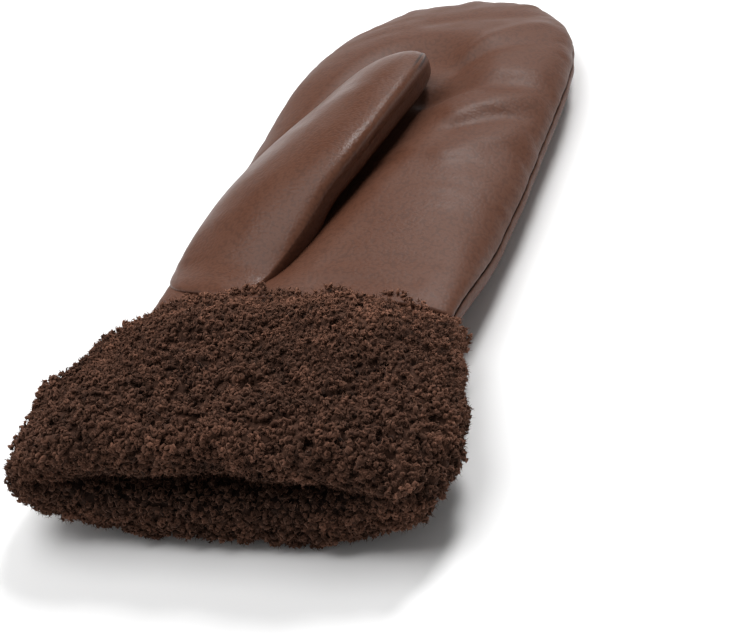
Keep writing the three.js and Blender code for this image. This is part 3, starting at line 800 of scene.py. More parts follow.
def thumb_points(sizes, along, turn):
    """Outer face of the thumb at shares of its length and turns round it."""
    x, y = thumb_line(sizes, along)
    palm = palm_height(sizes, x, y, np.minimum(1.0, reach(sizes, x, y))) - sizes.lip
    mouth = 1.0 - smooth((along * sizes.thumb_length - sizes.mouth_length) / sizes.mouth_rise + 0.5)
    bottom = palm + 2 * GAP - sizes.mouth_depth * mouth
    height = sizes.thumb_height * curve_at(THUMB_SECTIONS, "top", along)
    widest = palm + height * THUMB_WIDEST_LEVEL
    end_power = np.where(along < 0.5, THUMB_BASE_POWER, THUMB_END_POWER)
    round_end = np.sqrt(np.maximum(0.0, 1.0 - np.abs(2 * along - 1) ** end_power))
    cosine, sine = np.cos(turn), np.sin(turn)
    right_power = np.where(sine > 0, curve_at(THUMB_SECTIONS, "power", along), THUMB_LOW_POWER)
    power = np.where(cosine < 0, THUMB_LEFT_POWER, right_power)
    left, right = curve_at(THUMB_SECTIONS, "left", along), curve_at(THUMB_SECTIONS, "right", along)
    half = sizes.thumb_width / 2 * np.where(cosine < 0, left, right) * round_end
    up_reach = np.where(sine > 0, palm + height - widest, widest - bottom) * round_end
    rise = np.sign(sine) * np.abs(sine) ** (2.0 / power)
    ridge_shift = sizes.thumb_width / 2 * curve_at(THUMB_SECTIONS, "ridge", along)
    ridge_shift = ridge_shift * round_end * np.maximum(0.0, rise)
    across = half * np.sign(cosine) * np.abs(cosine) ** (2.0 / power) + ridge_shift
    up = up_reach * rise
    untilted = smooth(across / sizes.thumb_width + 0.5) * (1.0 - smooth(along / UNTILTED_LENGTH))
    tilt = mix(1.0, BASE_TILT, untilted) * mix(1.0, UNDERSIDE_TILT, np.maximum(0.0, -rise))
    z = widest + up + across * math.tan(sizes.thumb_tilt) * tilt
    lean_sine, lean_cosine = math.sin(sizes.thumb_lean), math.cos(sizes.thumb_lean)
    return np.stack((x + across * lean_cosine, y - across * lean_sine, z), axis=-1)


def thumb_relief(along, turn, points):
    """Relief of the thumb along its normals, the turn from its seam, and where that seam shows."""
    relief = layers(THUMB_UNEVENNESS, points)
    relief += streaks(THUMB_BASE_STREAKS, points) * (1.0 - smooth((along - 0.04) / 0.2))
    on_seam = smooth((along - THUMB_SEAM_START) / 0.06)
    offset = (turn - THUMB_SEAM_TURN + math.pi) % (2 * math.pi) - math.pi
    relief += THUMB_SEAM_RISE * on_seam * bell(offset, THUMB_SEAM_SPREAD)
    return relief, offset, on_seam * bell(offset, THUMB_SEAM_LINES_SPREAD)


# Form of the cuff


def oval_point(turn, width, low, high, middle, y):
    cosine, sine = np.cos(turn), np.sin(turn)
    rise = np.where(sine > 0, high - middle, middle - low)
    x = width / 2 * np.sign(cosine) * np.abs(cosine) ** (2.0 / CUFF_SIDE_POWER)
    z = middle + rise * np.sign(sine) * np.abs(sine) ** (2.0 / CUFF_TOP_POWER)
    return np.stack((x, y, z), axis=-1)


def cuff_outer(sizes, turn, y):
    along = np.clip(-y / sizes.cuff_length, 0.0, 1.0)
    side_share = np.where(np.cos(turn) < 0, table_at(CUFF_SECTIONS, "left", along), 1.0)
    width = sizes.cuff_width * table_at(CUFF_SECTIONS, "width", along) * side_share
    height = sizes.cuff_height * table_at(CUFF_SECTIONS, "height", along)
    return oval_point(turn, width, np.zeros_like(height), height, height / 2, y)


def cuff_inner(sizes, turn, y):
    opening = table_at(CUFF_SECTIONS, "open", -y / sizes.cuff_length)
    wrist_low = sizes.wrist_lift + sizes.wall
    wrist_high = seam_height(sizes, 0.0) + crown_height(sizes, 0.0) - sizes.wall
    middle = mix((wrist_low + wrist_high) / 2, sizes.cuff_height / 2, opening)
    half_height = mix((wrist_high - wrist_low) / 2, sizes.opening_height / 2, opening)
    width = mix(sizes.leather_width - 4 * sizes.wall, sizes.opening_width, opening)
    return oval_point(turn, width, middle - half_height, middle + half_height, middle, y)


def cuff_surface(sizes, turn, loop):
    """The cuff's form at turns round it and at loop 0 to 1 over its outside, 1 to 2 round its front
    roll and 2 to 3 back through its hollow."""
    roll_length = (sizes.cuff_height - sizes.opening_height) / 4
    roll_start = roll_length - sizes.cuff_length
    outside = cuff_outer(sizes, turn, mix(sizes.cuff_lip, roll_start, np.clip(loop, 0.0, 1.0)))
    hollow = cuff_inner(sizes, turn, mix(roll_start, -GAP, np.clip(loop - 2.0, 0.0, 1.0)))
    angle = math.pi * np.clip(loop - 1.0, 0.0, 1.0)
    share = ((1.0 - np.cos(angle)) / 2)[..., None]
    roll = mix(outside, hollow, share)
    roll[..., 1] = roll_start - roll_length * np.sin(angle)
    on_roll = (loop > 1.0) & (loop < 2.0)
    points = np.where(on_roll[..., None], roll, np.where((loop <= 1.0)[..., None], outside, hollow))
    return points


def surface_normals(surface, sizes, first, second):
    """Outward normals of a surface that is a function of two places on it."""
    along_first = surface(sizes, first + NORMAL_STEP, second) - surface(sizes, first - NORMAL_STEP, second)
    along_second = surface(sizes, first, second + NORMAL_STEP) - surface(sizes, first, second - NORMAL_STEP)
    return unit(np.cross(along_first, along_second))


def cuff_normals(sizes, turn, loop):
    return surface_normals(cuff_surface, sizes, turn, np.clip(loop, 2 * NORMAL_STEP, 3.0 - 2 * NORMAL_STEP))


def even_turns(sizes, count):
    """Turns that divide the cuff's outer girth into equal lengths, and the girth."""
    fine = np.linspace(0.0, 2 * math.pi, 2881)
    ring = cuff_outer(sizes, fine, np.full(fine.size, -sizes.cuff_length / 2))
    length = np.concatenate(((0.0,), np.cumsum(np.linalg.norm(np.diff(ring, axis=0), axis=1))))
    girth = length[-1]
    wanted = girth * np.arange(count) / count
    return np.interp(wanted, length, fine), girth


def past(change, loop):
    """0 before a change on the cuff's loop and 1 after it."""
    row = CHANGES[change]
    return smooth((loop - row["start"]) / row["length"])


def knob_dome(nearest):
    """Height of a round knob over the gaps beside it, by the distance from its knot."""
    return np.sqrt(np.maximum(0.0, 1.0 - (nearest / KNOB_REACH) ** 2))


def clump_height(sizes, points, loop):
    """Height of the pile over the cuff's form, the height of its knobs as a share, and the way out
    from each knob's middle: small knobs at the wrist, large ones with deep gaps round the front, and
    a swelling in the front of the hollow that nearly shuts it."""
    large_step, large_distance = nearest_knot(points, sizes.knob_size, 41)
    small_step, small_distance = nearest_knot(points, sizes.knob_size * SMALL_KNOB_SHARE, 61)
    at_front = past("large_knobs", loop)
    dome = mix(knob_dome(small_distance), knob_dome(large_distance), at_front)
    outward = -mix(small_step, large_step, at_front[..., None])
    depth = sizes.gap_depth * mix(SMALL_GAP_SHARE, 1.0, at_front)
    in_hollow = past("hollow_begins", loop)
    underneath = smooth((sizes.cuff_height / 2 - points[..., 2]) / UNDERSIDE_BLEND + 0.5)
    swelling = sizes.hollow_pile * (1.0 + UNDERSIDE_SWELLING * underneath)
    swelling = swelling * in_hollow * (1.0 - past("swelling_ends", loop))
    clumps = layers(CLUMP_LAYERS, points) * past("clumps_begin", loop)
    height = depth * (dome - KNOB_MIDDLE) + sizes.gap_depth * clumps
    return height * mix(1.0, HOLLOW_ROUGHNESS, in_hollow) + swelling, dome, outward


# Shader nodes


class Nodes:
    """Short ways to add and link nodes in one tree."""

    def __init__(self, tree):
        self.tree = tree

    def add(self, kind, **settings):
        node = self.tree.nodes.new(kind)
        for name, value in settings.items():
            setattr(node, name, value)
        return node

    def feed(self, socket, value):
        if isinstance(value, bpy.types.NodeSocket):
            self.tree.links.new(value, socket)
        else:
            socket.default_value = value

    def noise(self, vector, scale, detail=3.0, roughness=0.55):
        node = self.add("ShaderNodeTexNoise")
        self.feed(node.inputs["Vector"], vector)
        self.feed(node.inputs["Scale"], scale)
        self.feed(node.inputs["Detail"], detail)
        self.feed(node.inputs["Roughness"], roughness)
        return node.outputs["Fac"]

    def maths(self, operation, first, second=0.0, clamp=False):
        node = self.add("ShaderNodeMath", operation=operation, use_clamp=clamp)
        self.feed(node.inputs[0], first)
        self.feed(node.inputs[1], second)
        return node.outputs[0]

    def range(self, value, low, high, to_low, to_high):
        node = self.add("ShaderNodeMapRange", interpolation_type="SMOOTHSTEP")
        for name, entry in zip(("Value", "From Min", "From Max", "To Min", "To Max"),
                               (value, low, high, to_low, to_high)):
            self.feed(node.inputs[name], entry)
        return node.outputs["Result"]

    def mix_colour(self, share, first, second):
        # The node's colour sockets come after its float and vector ones
        node = self.add("ShaderNodeMix", data_type="RGBA")
        self.feed(node.inputs["Factor"], share)
        self.feed(node.inputs[6], first)
        self.feed(node.inputs[7], second)
        return node.outputs[2]

    def attribute(self, name, output="Fac"):
        return self.add("ShaderNodeAttribute", attribute_name=name).outputs[output]

    def place(self):
        return self.add("ShaderNodeTexCoord").outputs["Object"]

    def bump(self, height, strength, distance):
        node = self.add("ShaderNodeBump")
        node.inputs["Strength"].default_value = strength
        node.inputs["Distance"].default_value = distance
        self.feed(node.inputs["Height"], height)
        return node.outputs["Normal"]


def shared_group(name, inputs, outputs, build):
    """A shader node group with named float inputs and outputs, built when it is first used."""
    group = bpy.data.node_groups.get(name)
    if group is None:
        group = bpy.data.node_groups.new(name, "ShaderNodeTree")
        for label, default in inputs:
            socket = group.interface.new_socket(label, in_out="INPUT", socket_type="NodeSocketFloat")
            socket.default_value = default
        for label in outputs:
            group.interface.new_socket(label, in_out="OUTPUT", socket_type="NodeSocketFloat")
        nodes = Nodes(group)
        build(nodes, nodes.add("NodeGroupInput").outputs, nodes.add("NodeGroupOutput").inputs)
    return group


def build_leather_grain(nodes, inputs, outputs):
    """Pebbled grain with pores, and the slow mottling of dyed leather, as a height and masks."""
    place = nodes.place()
    fine_scale = nodes.maths("DIVIDE", 1.0, inputs["Pebble Size"])
    coarse_scale = nodes.maths("DIVIDE", 1.0, inputs["Mottle Size"])
    cells = nodes.add("ShaderNodeTexVoronoi", feature="SMOOTH_F1")
    nodes.feed(cells.inputs["Vector"], place)
    nodes.feed(cells.inputs["Scale"], fine_scale)
    cells.inputs["Smoothness"].default_value = 0.6
    pebble = nodes.range(cells.outputs["Distance"], 0.1, 0.75, 1.0, 0.0)
    creases = nodes.noise(place, nodes.maths("MULTIPLY", fine_scale, 0.45), 4.0, 0.65)
    patches = nodes.noise(place, coarse_scale, 3.0, 0.6)
    depth = nodes.maths("MULTIPLY", pebble, inputs["Pebble Depth"])
    height = nodes.maths("ADD", depth, nodes.maths("MULTIPLY", creases, 0.6))
    nodes.feed(outputs["Height"], height)
    nodes.feed(outputs["Mottle"], nodes.range(patches, 0.32, 0.68, 0.0, 1.0))
    nodes.feed(outputs["Pores"], nodes.range(pebble, 0.0, 0.35, 1.0, 0.0))


def leather_grain_group():
    inputs = (("Pebble Size", 0.0011), ("Pebble Depth", 0.5), ("Mottle Size", MOTTLE_SIZE))
    return shared_group("leather_grain", inputs, ("Height", "Mottle", "Pores"), build_leather_grain)


def build_seam_lines(nodes, inputs, outputs):
    """The two thin dark lines of a butted seam, from the distance to its middle, and where it shows."""
    away = nodes.maths("ABSOLUTE", inputs["Distance"])
    from_line = nodes.maths("ABSOLUTE", nodes.maths("SUBTRACT", away, inputs["Line Place"]))
    share = nodes.maths("DIVIDE", from_line, inputs["Line Width"])
    line = nodes.range(share, 0.3, 1.0, 1.0, 0.0)
    nodes.feed(outputs["Lines"], nodes.maths("MULTIPLY", line, inputs["Mask"], clamp=True))


def seam_lines_group():
    inputs = (("Distance", 0.0), ("Mask", 0.0), ("Line Place", 0.12), ("Line Width", 0.08))
    return shared_group("seam_lines", inputs, ("Lines",), build_seam_lines)


def new_material(name):
    """A new material, the short ways to its nodes, and its Principled shader."""
    material = bpy.data.materials.new(name)
    material.use_nodes = True
    return material, Nodes(material.node_tree), material.node_tree.nodes["Principled BSDF"]


def leather_material(name, colours):
    """Dyed, lightly finished leather: grain, mottling, painted shade where the rims turn in at the
    seam, dark seam lines and a soft broad sheen.
    """
    finish = LEATHERS[name]
    material, nodes, shader = new_material(name)
    grain = nodes.add("ShaderNodeGroup", node_tree=leather_grain_group())
    grain.inputs["Pebble Size"].default_value = finish["pebble_size"]
    grain.inputs["Pebble Depth"].default_value = finish["pebble_depth"]
    grain.inputs["Mottle Size"].default_value = MOTTLE_SIZE
    seam = nodes.add("ShaderNodeGroup", node_tree=seam_lines_group())
    nodes.feed(seam.inputs["Distance"], nodes.attribute("seam_turn"))
    nodes.feed(seam.inputs["Mask"], nodes.attribute("seam_mask"))
    mottle, lines = grain.outputs["Mottle"], seam.outputs["Lines"]
    base = nodes.mix_colour(nodes.maths("MULTIPLY", mottle, 0.55), colours.leather, colours.leather_worn)
    pores = nodes.maths("MULTIPLY", grain.outputs["Pores"], 0.22)
    pored = nodes.mix_colour(pores, base, colours.leather_dark_and_shade)
    # Painted shade where the rims turn in at the seam, and the seam's own dark lines, both mixed to the deep
    # leather colour
    dark = nodes.maths("MAXIMUM", nodes.attribute("rim_shade"), lines)
    nodes.feed(shader.inputs["Base Color"], nodes.mix_colour(dark, pored, colours.leather_dark_and_shade))
    rough = nodes.range(mottle, 0.0, 1.0, finish["roughness"] - 0.04, finish["roughness"] + 0.05)
    nodes.feed(shader.inputs["Roughness"], rough)
    shader.inputs["Specular IOR Level"].default_value = finish["specular"]
    pattern = nodes.noise(nodes.attribute("wrinkle_place", "Vector"), 1.0, 2.0, 0.5)
    wrinkles = nodes.range(pattern, 0.35, 0.65, 0.0, WRINKLE_HEIGHT)
    wrinkles = nodes.maths("MULTIPLY", wrinkles, nodes.attribute("wrinkle"))
    height = nodes.maths("ADD", grain.outputs["Height"], wrinkles)
    height = nodes.maths("SUBTRACT", height, nodes.maths("MULTIPLY", lines, SEAM_LINE_DEPTH))
    nodes.feed(shader.inputs["Normal"], nodes.bump(height, 0.35, GRAIN_DEPTH))
    return material


def pile_material(name, colours, fibre_scale, fibre_depth):
    """Matt curly pile: painted shade at the roots and in the gaps, lighter and warmer colour with painted
    light at the curls' tips.
    """
    material, nodes, shader = new_material(name)
    place = nodes.place()
    patches = nodes.range(nodes.noise(place, 90.0, 3.0, 0.6), 0.3, 0.7, 0.55, 1.0)
    share = nodes.maths("MULTIPLY", nodes.attribute("lift"), patches, clamp=True)
    # From the painted shade between the curls to the lit colour of their tips, by the painted lift
    nodes.feed(shader.inputs["Base Color"], nodes.mix_colour(share, colours.pile_gap_shade, colours.pile_lit))
    fibres = nodes.noise(place, fibre_scale, 2.0, 0.6)
    nodes.feed(shader.inputs["Roughness"], nodes.range(fibres, 0.3, 0.7, 0.72, 0.95))
    shader.inputs["Specular IOR Level"].default_value = 0.08
    shader.inputs["Sheen Weight"].default_value = 0.35
    shader.inputs["Sheen Roughness"].default_value = 0.45
    shader.inputs["Sheen Tint"].default_value = (0.6, 0.33, 0.23, 1.0)
    nodes.feed(shader.inputs["Normal"], nodes.bump(fibres, 0.6, fibre_depth))
    return material


def floor_material(colours):
    material, nodes, shader = new_material("pale_floor")
    shade = nodes.range(nodes.noise(nodes.place(), 3.0), 0.3, 0.7, 0.0, 1.0)
    darker = tuple(value * 0.985 for value in colours.floor[:3]) + (1.0,)
    nodes.feed(shader.inputs["Base Color"], nodes.mix_colour(shade, colours.floor, darker))
    shader.inputs["Roughness"].default_value = 0.9
    shader.inputs["Specular IOR Level"].default_value = 0.1
    return material


# Operators


class MITTEN_OT_back(bpy.types.Operator):
    """Build the back of the hand, which lies on the floor"""

    bl_idname = "mitten.back"
    bl_label = "Back of the hand"

    def execute(self, context):
        sizes = context.scene.mitten_sizes
        grid = leather_grid(sizes, **BACK_STEPS)
        points = panel_points(sizes, grid, is_palm=False)
        faces = grid_quads(*points.shape[:2])[:, ::-1]
        leather = leather_material("back_leather", context.scene.mitten_colours)
        # The rim's mask carries painted shade where it turns in at the seam
        piece = new_piece("back_leather", points, faces, leather, {"rim_shade": turned_rim_shade(grid)})
        merge_corners(piece)
        thicken(piece, sizes.wall * PANEL_WALL_SHARE)
        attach(piece, "root")
        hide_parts("back_panel")
        return {"FINISHED"}


class MITTEN_OT_palm(bpy.types.Operator):
    """Build the palm with its folds, the hollow under the thumb and the puckers along the seam"""

    bl_idname = "mitten.palm"
    bl_label = "Palm"

    def execute(self, context):
        sizes = context.scene.mitten_sizes
        grid = leather_grid(sizes, **PALM_STEPS)
        points = panel_points(sizes, grid, is_palm=True)
        faces = grid_quads(*points.shape[:2])
        middles = points.reshape(-1, 3)[faces].mean(axis=1)
        faces = faces[~in_thumb_mouth(sizes, middles)]
        leather = leather_material("palm_leather", context.scene.mitten_colours)
        values = {
            # The rim's mask carries painted shade where it turns in at the seam
            "rim_shade": turned_rim_shade(grid),
            "wrinkle": palm_wrinkle_mask(sizes, points),
            "wrinkle_place": wrinkle_places(points),
        }
        piece = new_piece("palm_leather", points, faces, leather, values)
        merge_corners(piece)
        thicken(piece, sizes.wall * PANEL_WALL_SHARE)
        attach(piece, "root")
        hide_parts("palm_panel")
        return {"FINISHED"}


def palm_wrinkle_mask(sizes, points):
    """Where the palm is finely wrinkled: by the cuff, beside the thumb's base and beside its tip."""
    x, y = points[..., 0], points[..., 1]
    from_wrist = smooth((y / sizes.leather_length - WRIST_WRINKLE_START) / WRIST_WRINKLE_LENGTH)
    beside = sum(row["strength"] * beside_line(sizes, x, y, row) for row in WRINKLE_LINES)
    return np.clip(WRIST_WRINKLE_STRENGTH * (1.0 - from_wrist) + beside, 0.0, 1.0)


def wrinkle_places(points):
    """Texture places for wrinkles that run across the hand, slanting a little."""
    flat = turned(points, -0.15)
    scaled = (flat[..., 0] / WRINKLE_LENGTH, flat[..., 1] / WRINKLE_PITCH, np.zeros(flat.shape[:-1]))
    return np.stack(scaled, axis=-1)


def in_thumb_mouth(sizes, middles):
    """Which faces of the palm lie inside the mouth through which the thumb opens into the hand."""
    x, y = middles[:, 0], middles[:, 1]
    sine, cosine = math.sin(sizes.thumb_lean), math.cos(sizes.thumb_lean)
    along = ((y - sizes.thumb_setback) / cosine) / sizes.thumb_length
    line_x, line_y = thumb_line(sizes, np.clip(along, 0.0, 1.0))
    across = (x - line_x) * cosine - (y - line_y) * sine
    inside = np.abs(across) < sizes.thumb_width / 2 - MOUTH_MARGIN
    length = along * sizes.thumb_length
    return inside & (length > MOUTH_START) & (length < sizes.mouth_length - MOUTH_MARGIN)


def thumb_wrinkles(sizes, along, turn):
    """Strength of the thumb's fine wrinkles, which lie on its ridge, and their texture places."""
    strength = bell(turn - THUMB_RIDGE_TURN, 0.5) * smooth(along / 0.06) * smooth((1.0 - along) / 0.1)
    length = along * sizes.thumb_length
    girth = turn * sizes.thumb_width / 2
    scaled = (length / WRINKLE_PITCH, girth / WRINKLE_LENGTH, np.zeros_like(girth))
    return strength, np.stack(scaled, axis=-1)


class MITTEN_OT_thumb(bpy.types.Operator):
    """Build the thumb folded over the palm, with the seam along its inner side"""

    bl_idname = "mitten.thumb"
    bl_label = "Thumb"

    def execute(self, context):
        sizes = context.scene.mitten_sizes
        along = (1.0 - np.cos(np.linspace(0.0, math.pi, THUMB_STEPS))) / 2
        turn = np.linspace(0.0, 2 * math.pi, THUMB_SIDES, endpoint=False)
        along, turn = np.meshgrid(along, turn, indexing="ij")
        points = thumb_points(sizes, along, turn)
        held = np.clip(along, NORMAL_STEP, 1.0 - NORMAL_STEP)
        normals = surface_normals(thumb_points, sizes, held, turn)
        relief, seam_turn, seam_mask = thumb_relief(along, turn, points)
        fade = smooth(np.minimum(along, 1.0 - along) / 0.02)
        points = points + normals * (relief * fade)[..., None]
        faces = grid_quads(THUMB_STEPS, THUMB_SIDES, wrap_columns=True)
        strength, places = thumb_wrinkles(sizes, along, turn)
        values = {
            "wrinkle": strength,
            "wrinkle_place": places,
            "seam_mask": seam_mask,
            "seam_turn": seam_turn,
        }
        leather = leather_material("thumb_leather", context.scene.mitten_colours)
        piece = new_piece("thumb_leather", points, faces, leather, values)
        merge_corners(piece)
        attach(piece, "root")
        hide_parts("thumb")
        return {"FINISHED"}


class MITTEN_OT_cuff(bpy.types.Operator):
    """Build the cuff's body of clumped pile, which the curls stand on"""

    bl_idname = "mitten.cuff"
    bl_label = "Cuff"

    def execute(self, context):
        sizes = context.scene.mitten_sizes
        turn, _ = even_turns(sizes, CUFF_SIDES)
        loop = np.concatenate((
            np.linspace(0.0, 1.0, CUFF_STEPS["outside"])[:-1],
            np.linspace(1.0, 2.0, CUFF_STEPS["roll"])[:-1],
            np.linspace(2.0, 3.0, CUFF_STEPS["hollow"]),
        ))
        loop, turn = np.meshgrid(loop, turn, indexing="ij")
        points = cuff_surface(sizes, turn, loop)
        height, dome, _ = clump_height(sizes, points, loop)
        points = points + cuff_normals(sizes, turn, loop) * (height - GROUND_DEPTH)[..., None]
        points[..., 2] = np.maximum(points[..., 2], 0.0)
        faces = grid_quads(*points.shape[:2], wrap_rows=True, wrap_columns=True)[:, ::-1]
        # Painted light on the ground's knobs, painted shade in its gaps and in the hollow
        lift = GROUND_LIFT * dome * hollow_shade(loop)
        pile = pile_material("pile_ground", context.scene.mitten_colours, **GROUND_FIBRES)
        piece = new_piece("cuff_ground", points, faces, pile, {"lift": lift})
        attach(piece, "root")
        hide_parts("cuff")
        return {"FINISHED"}


def hollow_shade(loop):
    """Share of the light colour that the pile keeps: less and less into the hollow, as painted shade."""
    return 1.0 - HOLLOW_DARKNESS * past("hollow_shade_deepens", loop)


def curl_roots(sizes):
    """Turns and loop places of the curls: an even net over the outside, the roll and the front of the
    hollow, with each root strayed from its knot."""
    random = np.random.default_rng(7)
    _, girth = even_turns(sizes, 4)
    columns = int(girth / sizes.curl_pitch)
    roll_length = (sizes.cuff_height - sizes.opening_height) / 4
    hollow_share = HOLLOW_PILE_LENGTH / (sizes.cuff_length - roll_length)
    outer_length = sizes.cuff_length - roll_length + sizes.cuff_lip
    stretches = (
        {"start": FIRST_CURL_PLACE, "end": 1.0, "length": outer_length, "share": 1.0},
        {"start": 1.0, "end": 2.0, "length": math.pi * roll_length, "share": 1.0},
        {"start": 2.0, "end": 2.0 + hollow_share, "length": HOLLOW_PILE_LENGTH, "share": hollow_share},
    )
    loops = []
    spacings = []
    for row in stretches:
        count = int(row["length"] / sizes.curl_pitch)
        loops.append(np.linspace(row["start"], row["end"], count, endpoint=False))
        spacings.append(np.full(count, row["share"] / count))
    loop = np.concatenate(loops)
    spacing = np.concatenate(spacings)
    turn_fine, _ = even_turns(sizes, columns * 8)
    place = np.arange(columns)[None, :] * 8 + 4 * (np.arange(loop.size)[:, None] % 2)
    place = place + random.integers(-4, 5, size=place.shape)
    turn = turn_fine[place % turn_fine.size]
    strayed = loop[:, None] + spacing[:, None] * random.uniform(-0.5, 0.5, size=place.shape)
    return turn.ravel(), np.maximum(strayed, 0.002).ravel()


def curl_tubes(sizes, roots, normals, lifts, scales, thicknesses, random):
    """Tubes of all curls as one array of corners: each winds once and a half round its own slanted
    axis, and thins to its end."""
    count = len(roots)

    def drawn(name, *extra):
        return random.uniform(*CURL_RANGES[name], size=(count, *extra))

    tangent = unit(np.cross(normals, unit(random.normal(size=(count, 3)))))
    other = np.cross(normals, tangent)
    slant = drawn("slant", 1)
    axis = normals * np.cos(slant) + tangent * np.sin(slant)
    first = unit(np.cross(axis, other))
    second = np.cross(axis, first)
    radius = sizes.curl_radius * scales[:, None, None] * drawn("radius", 1, 1)
    winding = random.choice((-1.0, 1.0), size=(count, 1, 1))
    turns = drawn("turns", 1, 1)
    share = np.linspace(0.0, 1.0, CURL_RINGS)[None, :, None]
    angle = winding * share * turns * 2 * math.pi + random.uniform(0, 2 * math.pi, size=(count, 1, 1))
    spiral = radius * (1.0 - LOOP_TAPER * share)
    rise = sizes.curl_radius * drawn("rise", 1, 1)
    centre = (
        roots[:, None, :]
        + normals[:, None, :] * (rise * share + 0.35 * radius)
        + first[:, None, :] * np.cos(angle) * spiral
        + second[:, None, :] * np.sin(angle) * spiral
        + axis[:, None, :] * (share - 0.5) * sizes.curl_radius * CURL_STRETCH
    )
    along = unit(np.gradient(centre, axis=1))
    side = unit(np.cross(along, axis[:, None, :] + 0.01))
    upright = np.cross(along, side)
    thick = sizes.strand_radius * thicknesses[:, None, None] * drawn("thickness", 1, 1)
    thick = thick * (1.0 - STRAND_TAPER * share**3) * drawn("ring", CURL_RINGS, 1)
    corners = []
    for corner in range(CURL_SIDES):
        turn = 2 * math.pi * corner / CURL_SIDES
        corners.append(centre + (side * math.cos(turn) + upright * math.sin(turn)) * thick)
    points = np.stack(corners, axis=2)
    # Painted shade at each curl's root, less towards its end
    lift = np.clip(lifts[:, None, None] + CURL_LIFT * share + np.zeros((1, 1, CURL_SIDES)), 0.0, 1.0)
    return points, lift


def fuzz_fibres(sizes, points, normals, lift, per_curl, random):
    """Fine fibres that stand off the curls, each one narrow triangle, as corners and their lift."""
    count, rings, sides, _ = points.shape
    curl = np.repeat(np.arange(count), per_curl)
    ring = random.integers(1, rings, size=curl.size)
    side = random.integers(0, sides, size=curl.size)
    root = points[curl, ring, side]
    outward = unit(root - points[curl, ring].mean(axis=1))
    stray = FUZZ_STRAY * random.normal(size=root.shape)
    direction = unit(outward + FUZZ_UPRIGHTNESS * normals[curl] + stray)
    across = unit(np.cross(direction, random.normal(size=root.shape))) * sizes.fuzz_width / 2
    length = sizes.fuzz_length * random.uniform(*FUZZ_LENGTHS, size=(curl.size, 1))
    corners = np.stack((root - across, root + across, root + direction * length), axis=1)
    # Painted shade at each fibre's root, less towards its tip
    shade = np.clip(lift[curl, ring, side][:, None] + np.array((0.0, 0.0, FUZZ_LIFT)), 0.0, 1.0)
    return corners, shade


def tube_faces(count, rings, sides):
    one = grid_quads(rings, sides, wrap_columns=True)
    start = np.arange(count)[:, None, None] * rings * sides
    return (one[None, :, :] + start).reshape(-1, 4)


def curl_lifts(roots, loop, dome, at_wrist, random):
    """Lightness of the curls, painted light and shade: most on the knobs' tops, with painted shade round
    the front and the deepest painted shade in the hollow.
    """
    # Painted light towards the wrist and painted shade round the front
    round_front = mix(WRIST_LIGHTNESS, FRONT_LIGHTNESS, past("shaded_front", loop))
    patches = 1.0 + layers(PATCH_LAYERS, roots)
    # Painted shade in the gaps, painted light on the knobs' tops and on the fringe over the leather
    lifts = (GAP_LIFT + KNOB_LIFT * dome**KNOB_SHARPNESS) * round_front * patches + FRINGE_LIFT * at_wrist
    return (lifts + random.uniform(*LIFT_SPREAD, size=lifts.size)) * hollow_shade(loop)


class MITTEN_OT_curls(bpy.types.Operator):
    """Build the pile's curls in four joined pieces, one for each quarter of the cuff"""

    bl_idname = "mitten.curls"
    bl_label = "Curls"

    def execute(self, context):
        sizes = context.scene.mitten_sizes
        random = np.random.default_rng(11)
        turn, loop = curl_roots(sizes)
        roots = cuff_surface(sizes, turn, loop)
        normals = cuff_normals(sizes, turn, loop)
        height, dome, outward = clump_height(sizes, roots, loop)
        at_wrist = 1.0 - past("fringe_ends", loop)
        roots = roots + normals * (height - ROOT_DEPTH + ROOT_RISE_AT_WRIST * at_wrist)[:, None]
        roots[:, 1] += sizes.fringe * at_wrist * (0.5 + layers(FRINGE_LAYERS, roots))
        normals = unit(normals * CURL_UPRIGHTNESS + outward)
        lifts = curl_lifts(roots, loop, dome, at_wrist, random)
        scales = mix(*CURL_SCALES, past("large_curls", loop)) * (1.0 + layers(SCALE_LAYERS, roots))
        is_stray = random.random(lifts.size) < STRAY_SHARE
        thicknesses = np.where(is_stray, STRAY_THICKNESS, 1.0) * scales
        scales = np.where(is_stray, STRAY_SCALE, 1.0) * scales
        points, lift = curl_tubes(sizes, roots, normals, lifts, scales, thicknesses, random)
        points[..., 2] = np.maximum(points[..., 2], sizes.strand_radius * LOWEST_STRAND)
        fibres, shade = fuzz_fibres(sizes, points, normals, lift, FIBRES_PER_CURL, random)
        fibres[..., 2] = np.maximum(fibres[..., 2], 0.0)
        pile = pile_material("pile_curls", context.scene.mitten_colours, **CURL_FIBRES)
        quarter = np.floor(turn / (math.pi / 2)).astype(int) % 4
        for number, name in enumerate(CURL_PIECES):
            chosen = quarter == number
            part = points[chosen]
            faces = tube_faces(len(part), part.shape[1], part.shape[2])
            piece = new_piece(name, part, faces, pile, {"lift": lift[chosen]})
            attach(piece, "root")
        fibre_faces = np.arange(fibres.shape[0] * 3).reshape(-1, 3)
        fuzz = new_piece("pile_fuzz", fibres, fibre_faces, pile, {"lift": shade})
        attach(fuzz, "root")
        return {"FINISHED"}


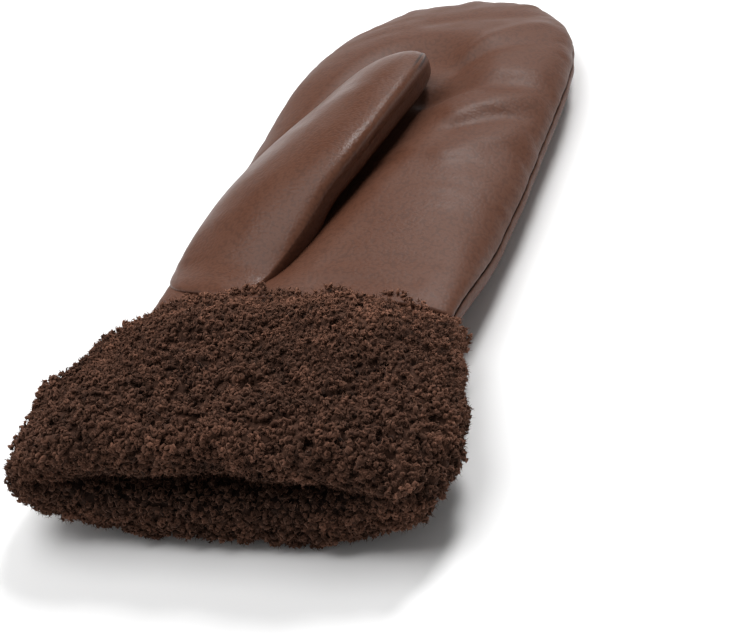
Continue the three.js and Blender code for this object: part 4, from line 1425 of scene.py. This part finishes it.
class MITTEN_OT_stage(bpy.types.Operator):
    """Build the floor, the soft studio light and the camera at the photograph's angle"""

    bl_idname = "mitten.stage"
    bl_label = "Stage"

    def execute(self, context):
        scene = context.scene
        bpy.ops.mesh.primitive_plane_add(size=FLOOR_SIZE, location=(0.0, 0.0, 0.0))
        floor = context.active_object
        floor.name = "floor"
        floor.data.materials.append(floor_material(scene.mitten_colours))
        self.add_world(scene)
        for row in LIGHTS:
            self.add_light(scene, row)
        self.add_camera(scene)
        scene.view_settings.view_transform = "Standard"
        return {"FINISHED"}

    def add_world(self, scene):
        world = bpy.data.worlds.new("studio")
        world.use_nodes = True
        background = world.node_tree.nodes["Background"]
        background.inputs["Color"].default_value = (1.0, 1.0, 1.0, 1.0)
        background.inputs["Strength"].default_value = WORLD_STRENGTH
        scene.world = world

    def add_light(self, scene, row):
        """A square light that faces the mitten."""
        light = bpy.data.lights.new(row["name"], "AREA")
        light.shape = "SQUARE"
        light.size = row["size"]
        light.energy = row["power"]
        lamp = bpy.data.objects.new(row["name"], light)
        lamp.location = row["place"]
        lamp.rotation_euler = (-Vector(row["place"])).to_track_quat("-Z", "Y").to_euler()
        scene.collection.objects.link(lamp)

    def add_camera(self, scene):
        """The photograph's camera: where it stands, how it is rolled and what it looks at."""
        azimuth = math.radians(CAMERA_AZIMUTH)
        elevation = math.radians(CAMERA_ELEVATION)
        roll = math.radians(CAMERA_ROLL)
        target = Vector((WRIST_X, WRIST_Y, 0.0)) + Vector(CAMERA_TARGET)
        away_x = math.sin(azimuth) * math.cos(elevation)
        away_y = -math.cos(azimuth) * math.cos(elevation)
        back = Vector((away_x, away_y, math.sin(elevation)))
        right = Vector((math.cos(azimuth), math.sin(azimuth), 0.0))
        up = back.cross(right)
        rolled_right = right * math.cos(roll) + up * math.sin(roll)
        rolled_up = up * math.cos(roll) - right * math.sin(roll)
        data = bpy.data.cameras.new("camera")
        data.sensor_width = SENSOR_WIDTH
        data.lens = FOCAL_PIXELS / IMAGE_WIDTH * SENSOR_WIDTH
        data.clip_start = 0.01
        camera = bpy.data.objects.new("camera", data)
        turn = Matrix((rolled_right, rolled_up, back)).transposed().to_4x4()
        camera.matrix_world = Matrix.Translation(target + back * CAMERA_DISTANCE) @ turn
        scene.collection.objects.link(camera)
        scene.camera = camera


class MITTEN_PT_panel(bpy.types.Panel):
    """The mitten's pieces, in the order in which they are built"""

    bl_idname = "MITTEN_PT_panel"
    bl_label = "Leather mitten"
    bl_space_type = "VIEW_3D"
    bl_region_type = "UI"
    bl_category = "Mitten"

    def draw(self, context):
        for operator in OPERATORS:
            self.layout.operator(operator.bl_idname)
        for group in (context.scene.mitten_sizes, context.scene.mitten_colours):
            for name in group.__annotations__:
                self.layout.prop(group, name)


OPERATORS = (
    MITTEN_OT_stage,
    MITTEN_OT_back,
    MITTEN_OT_palm,
    MITTEN_OT_thumb,
    MITTEN_OT_cuff,
    MITTEN_OT_curls,
)
CLASSES = (MittenSizes, MittenColours) + OPERATORS + (MITTEN_PT_panel,)


def register():
    for entry in CLASSES:
        bpy.utils.register_class(entry)
    bpy.types.Scene.mitten_sizes = bpy.props.PointerProperty(type=MittenSizes)
    bpy.types.Scene.mitten_colours = bpy.props.PointerProperty(type=MittenColours)


def unregister():
    del bpy.types.Scene.mitten_colours
    del bpy.types.Scene.mitten_sizes
    for entry in reversed(CLASSES):
        bpy.utils.unregister_class(entry)


def main():
    register()
    bpy.ops.mitten.stage()
    bpy.ops.mitten.back()
    bpy.ops.mitten.palm()
    bpy.ops.mitten.thumb()
    bpy.ops.mitten.cuff()
    bpy.ops.mitten.curls()


if __name__ == "__main__":
    main()
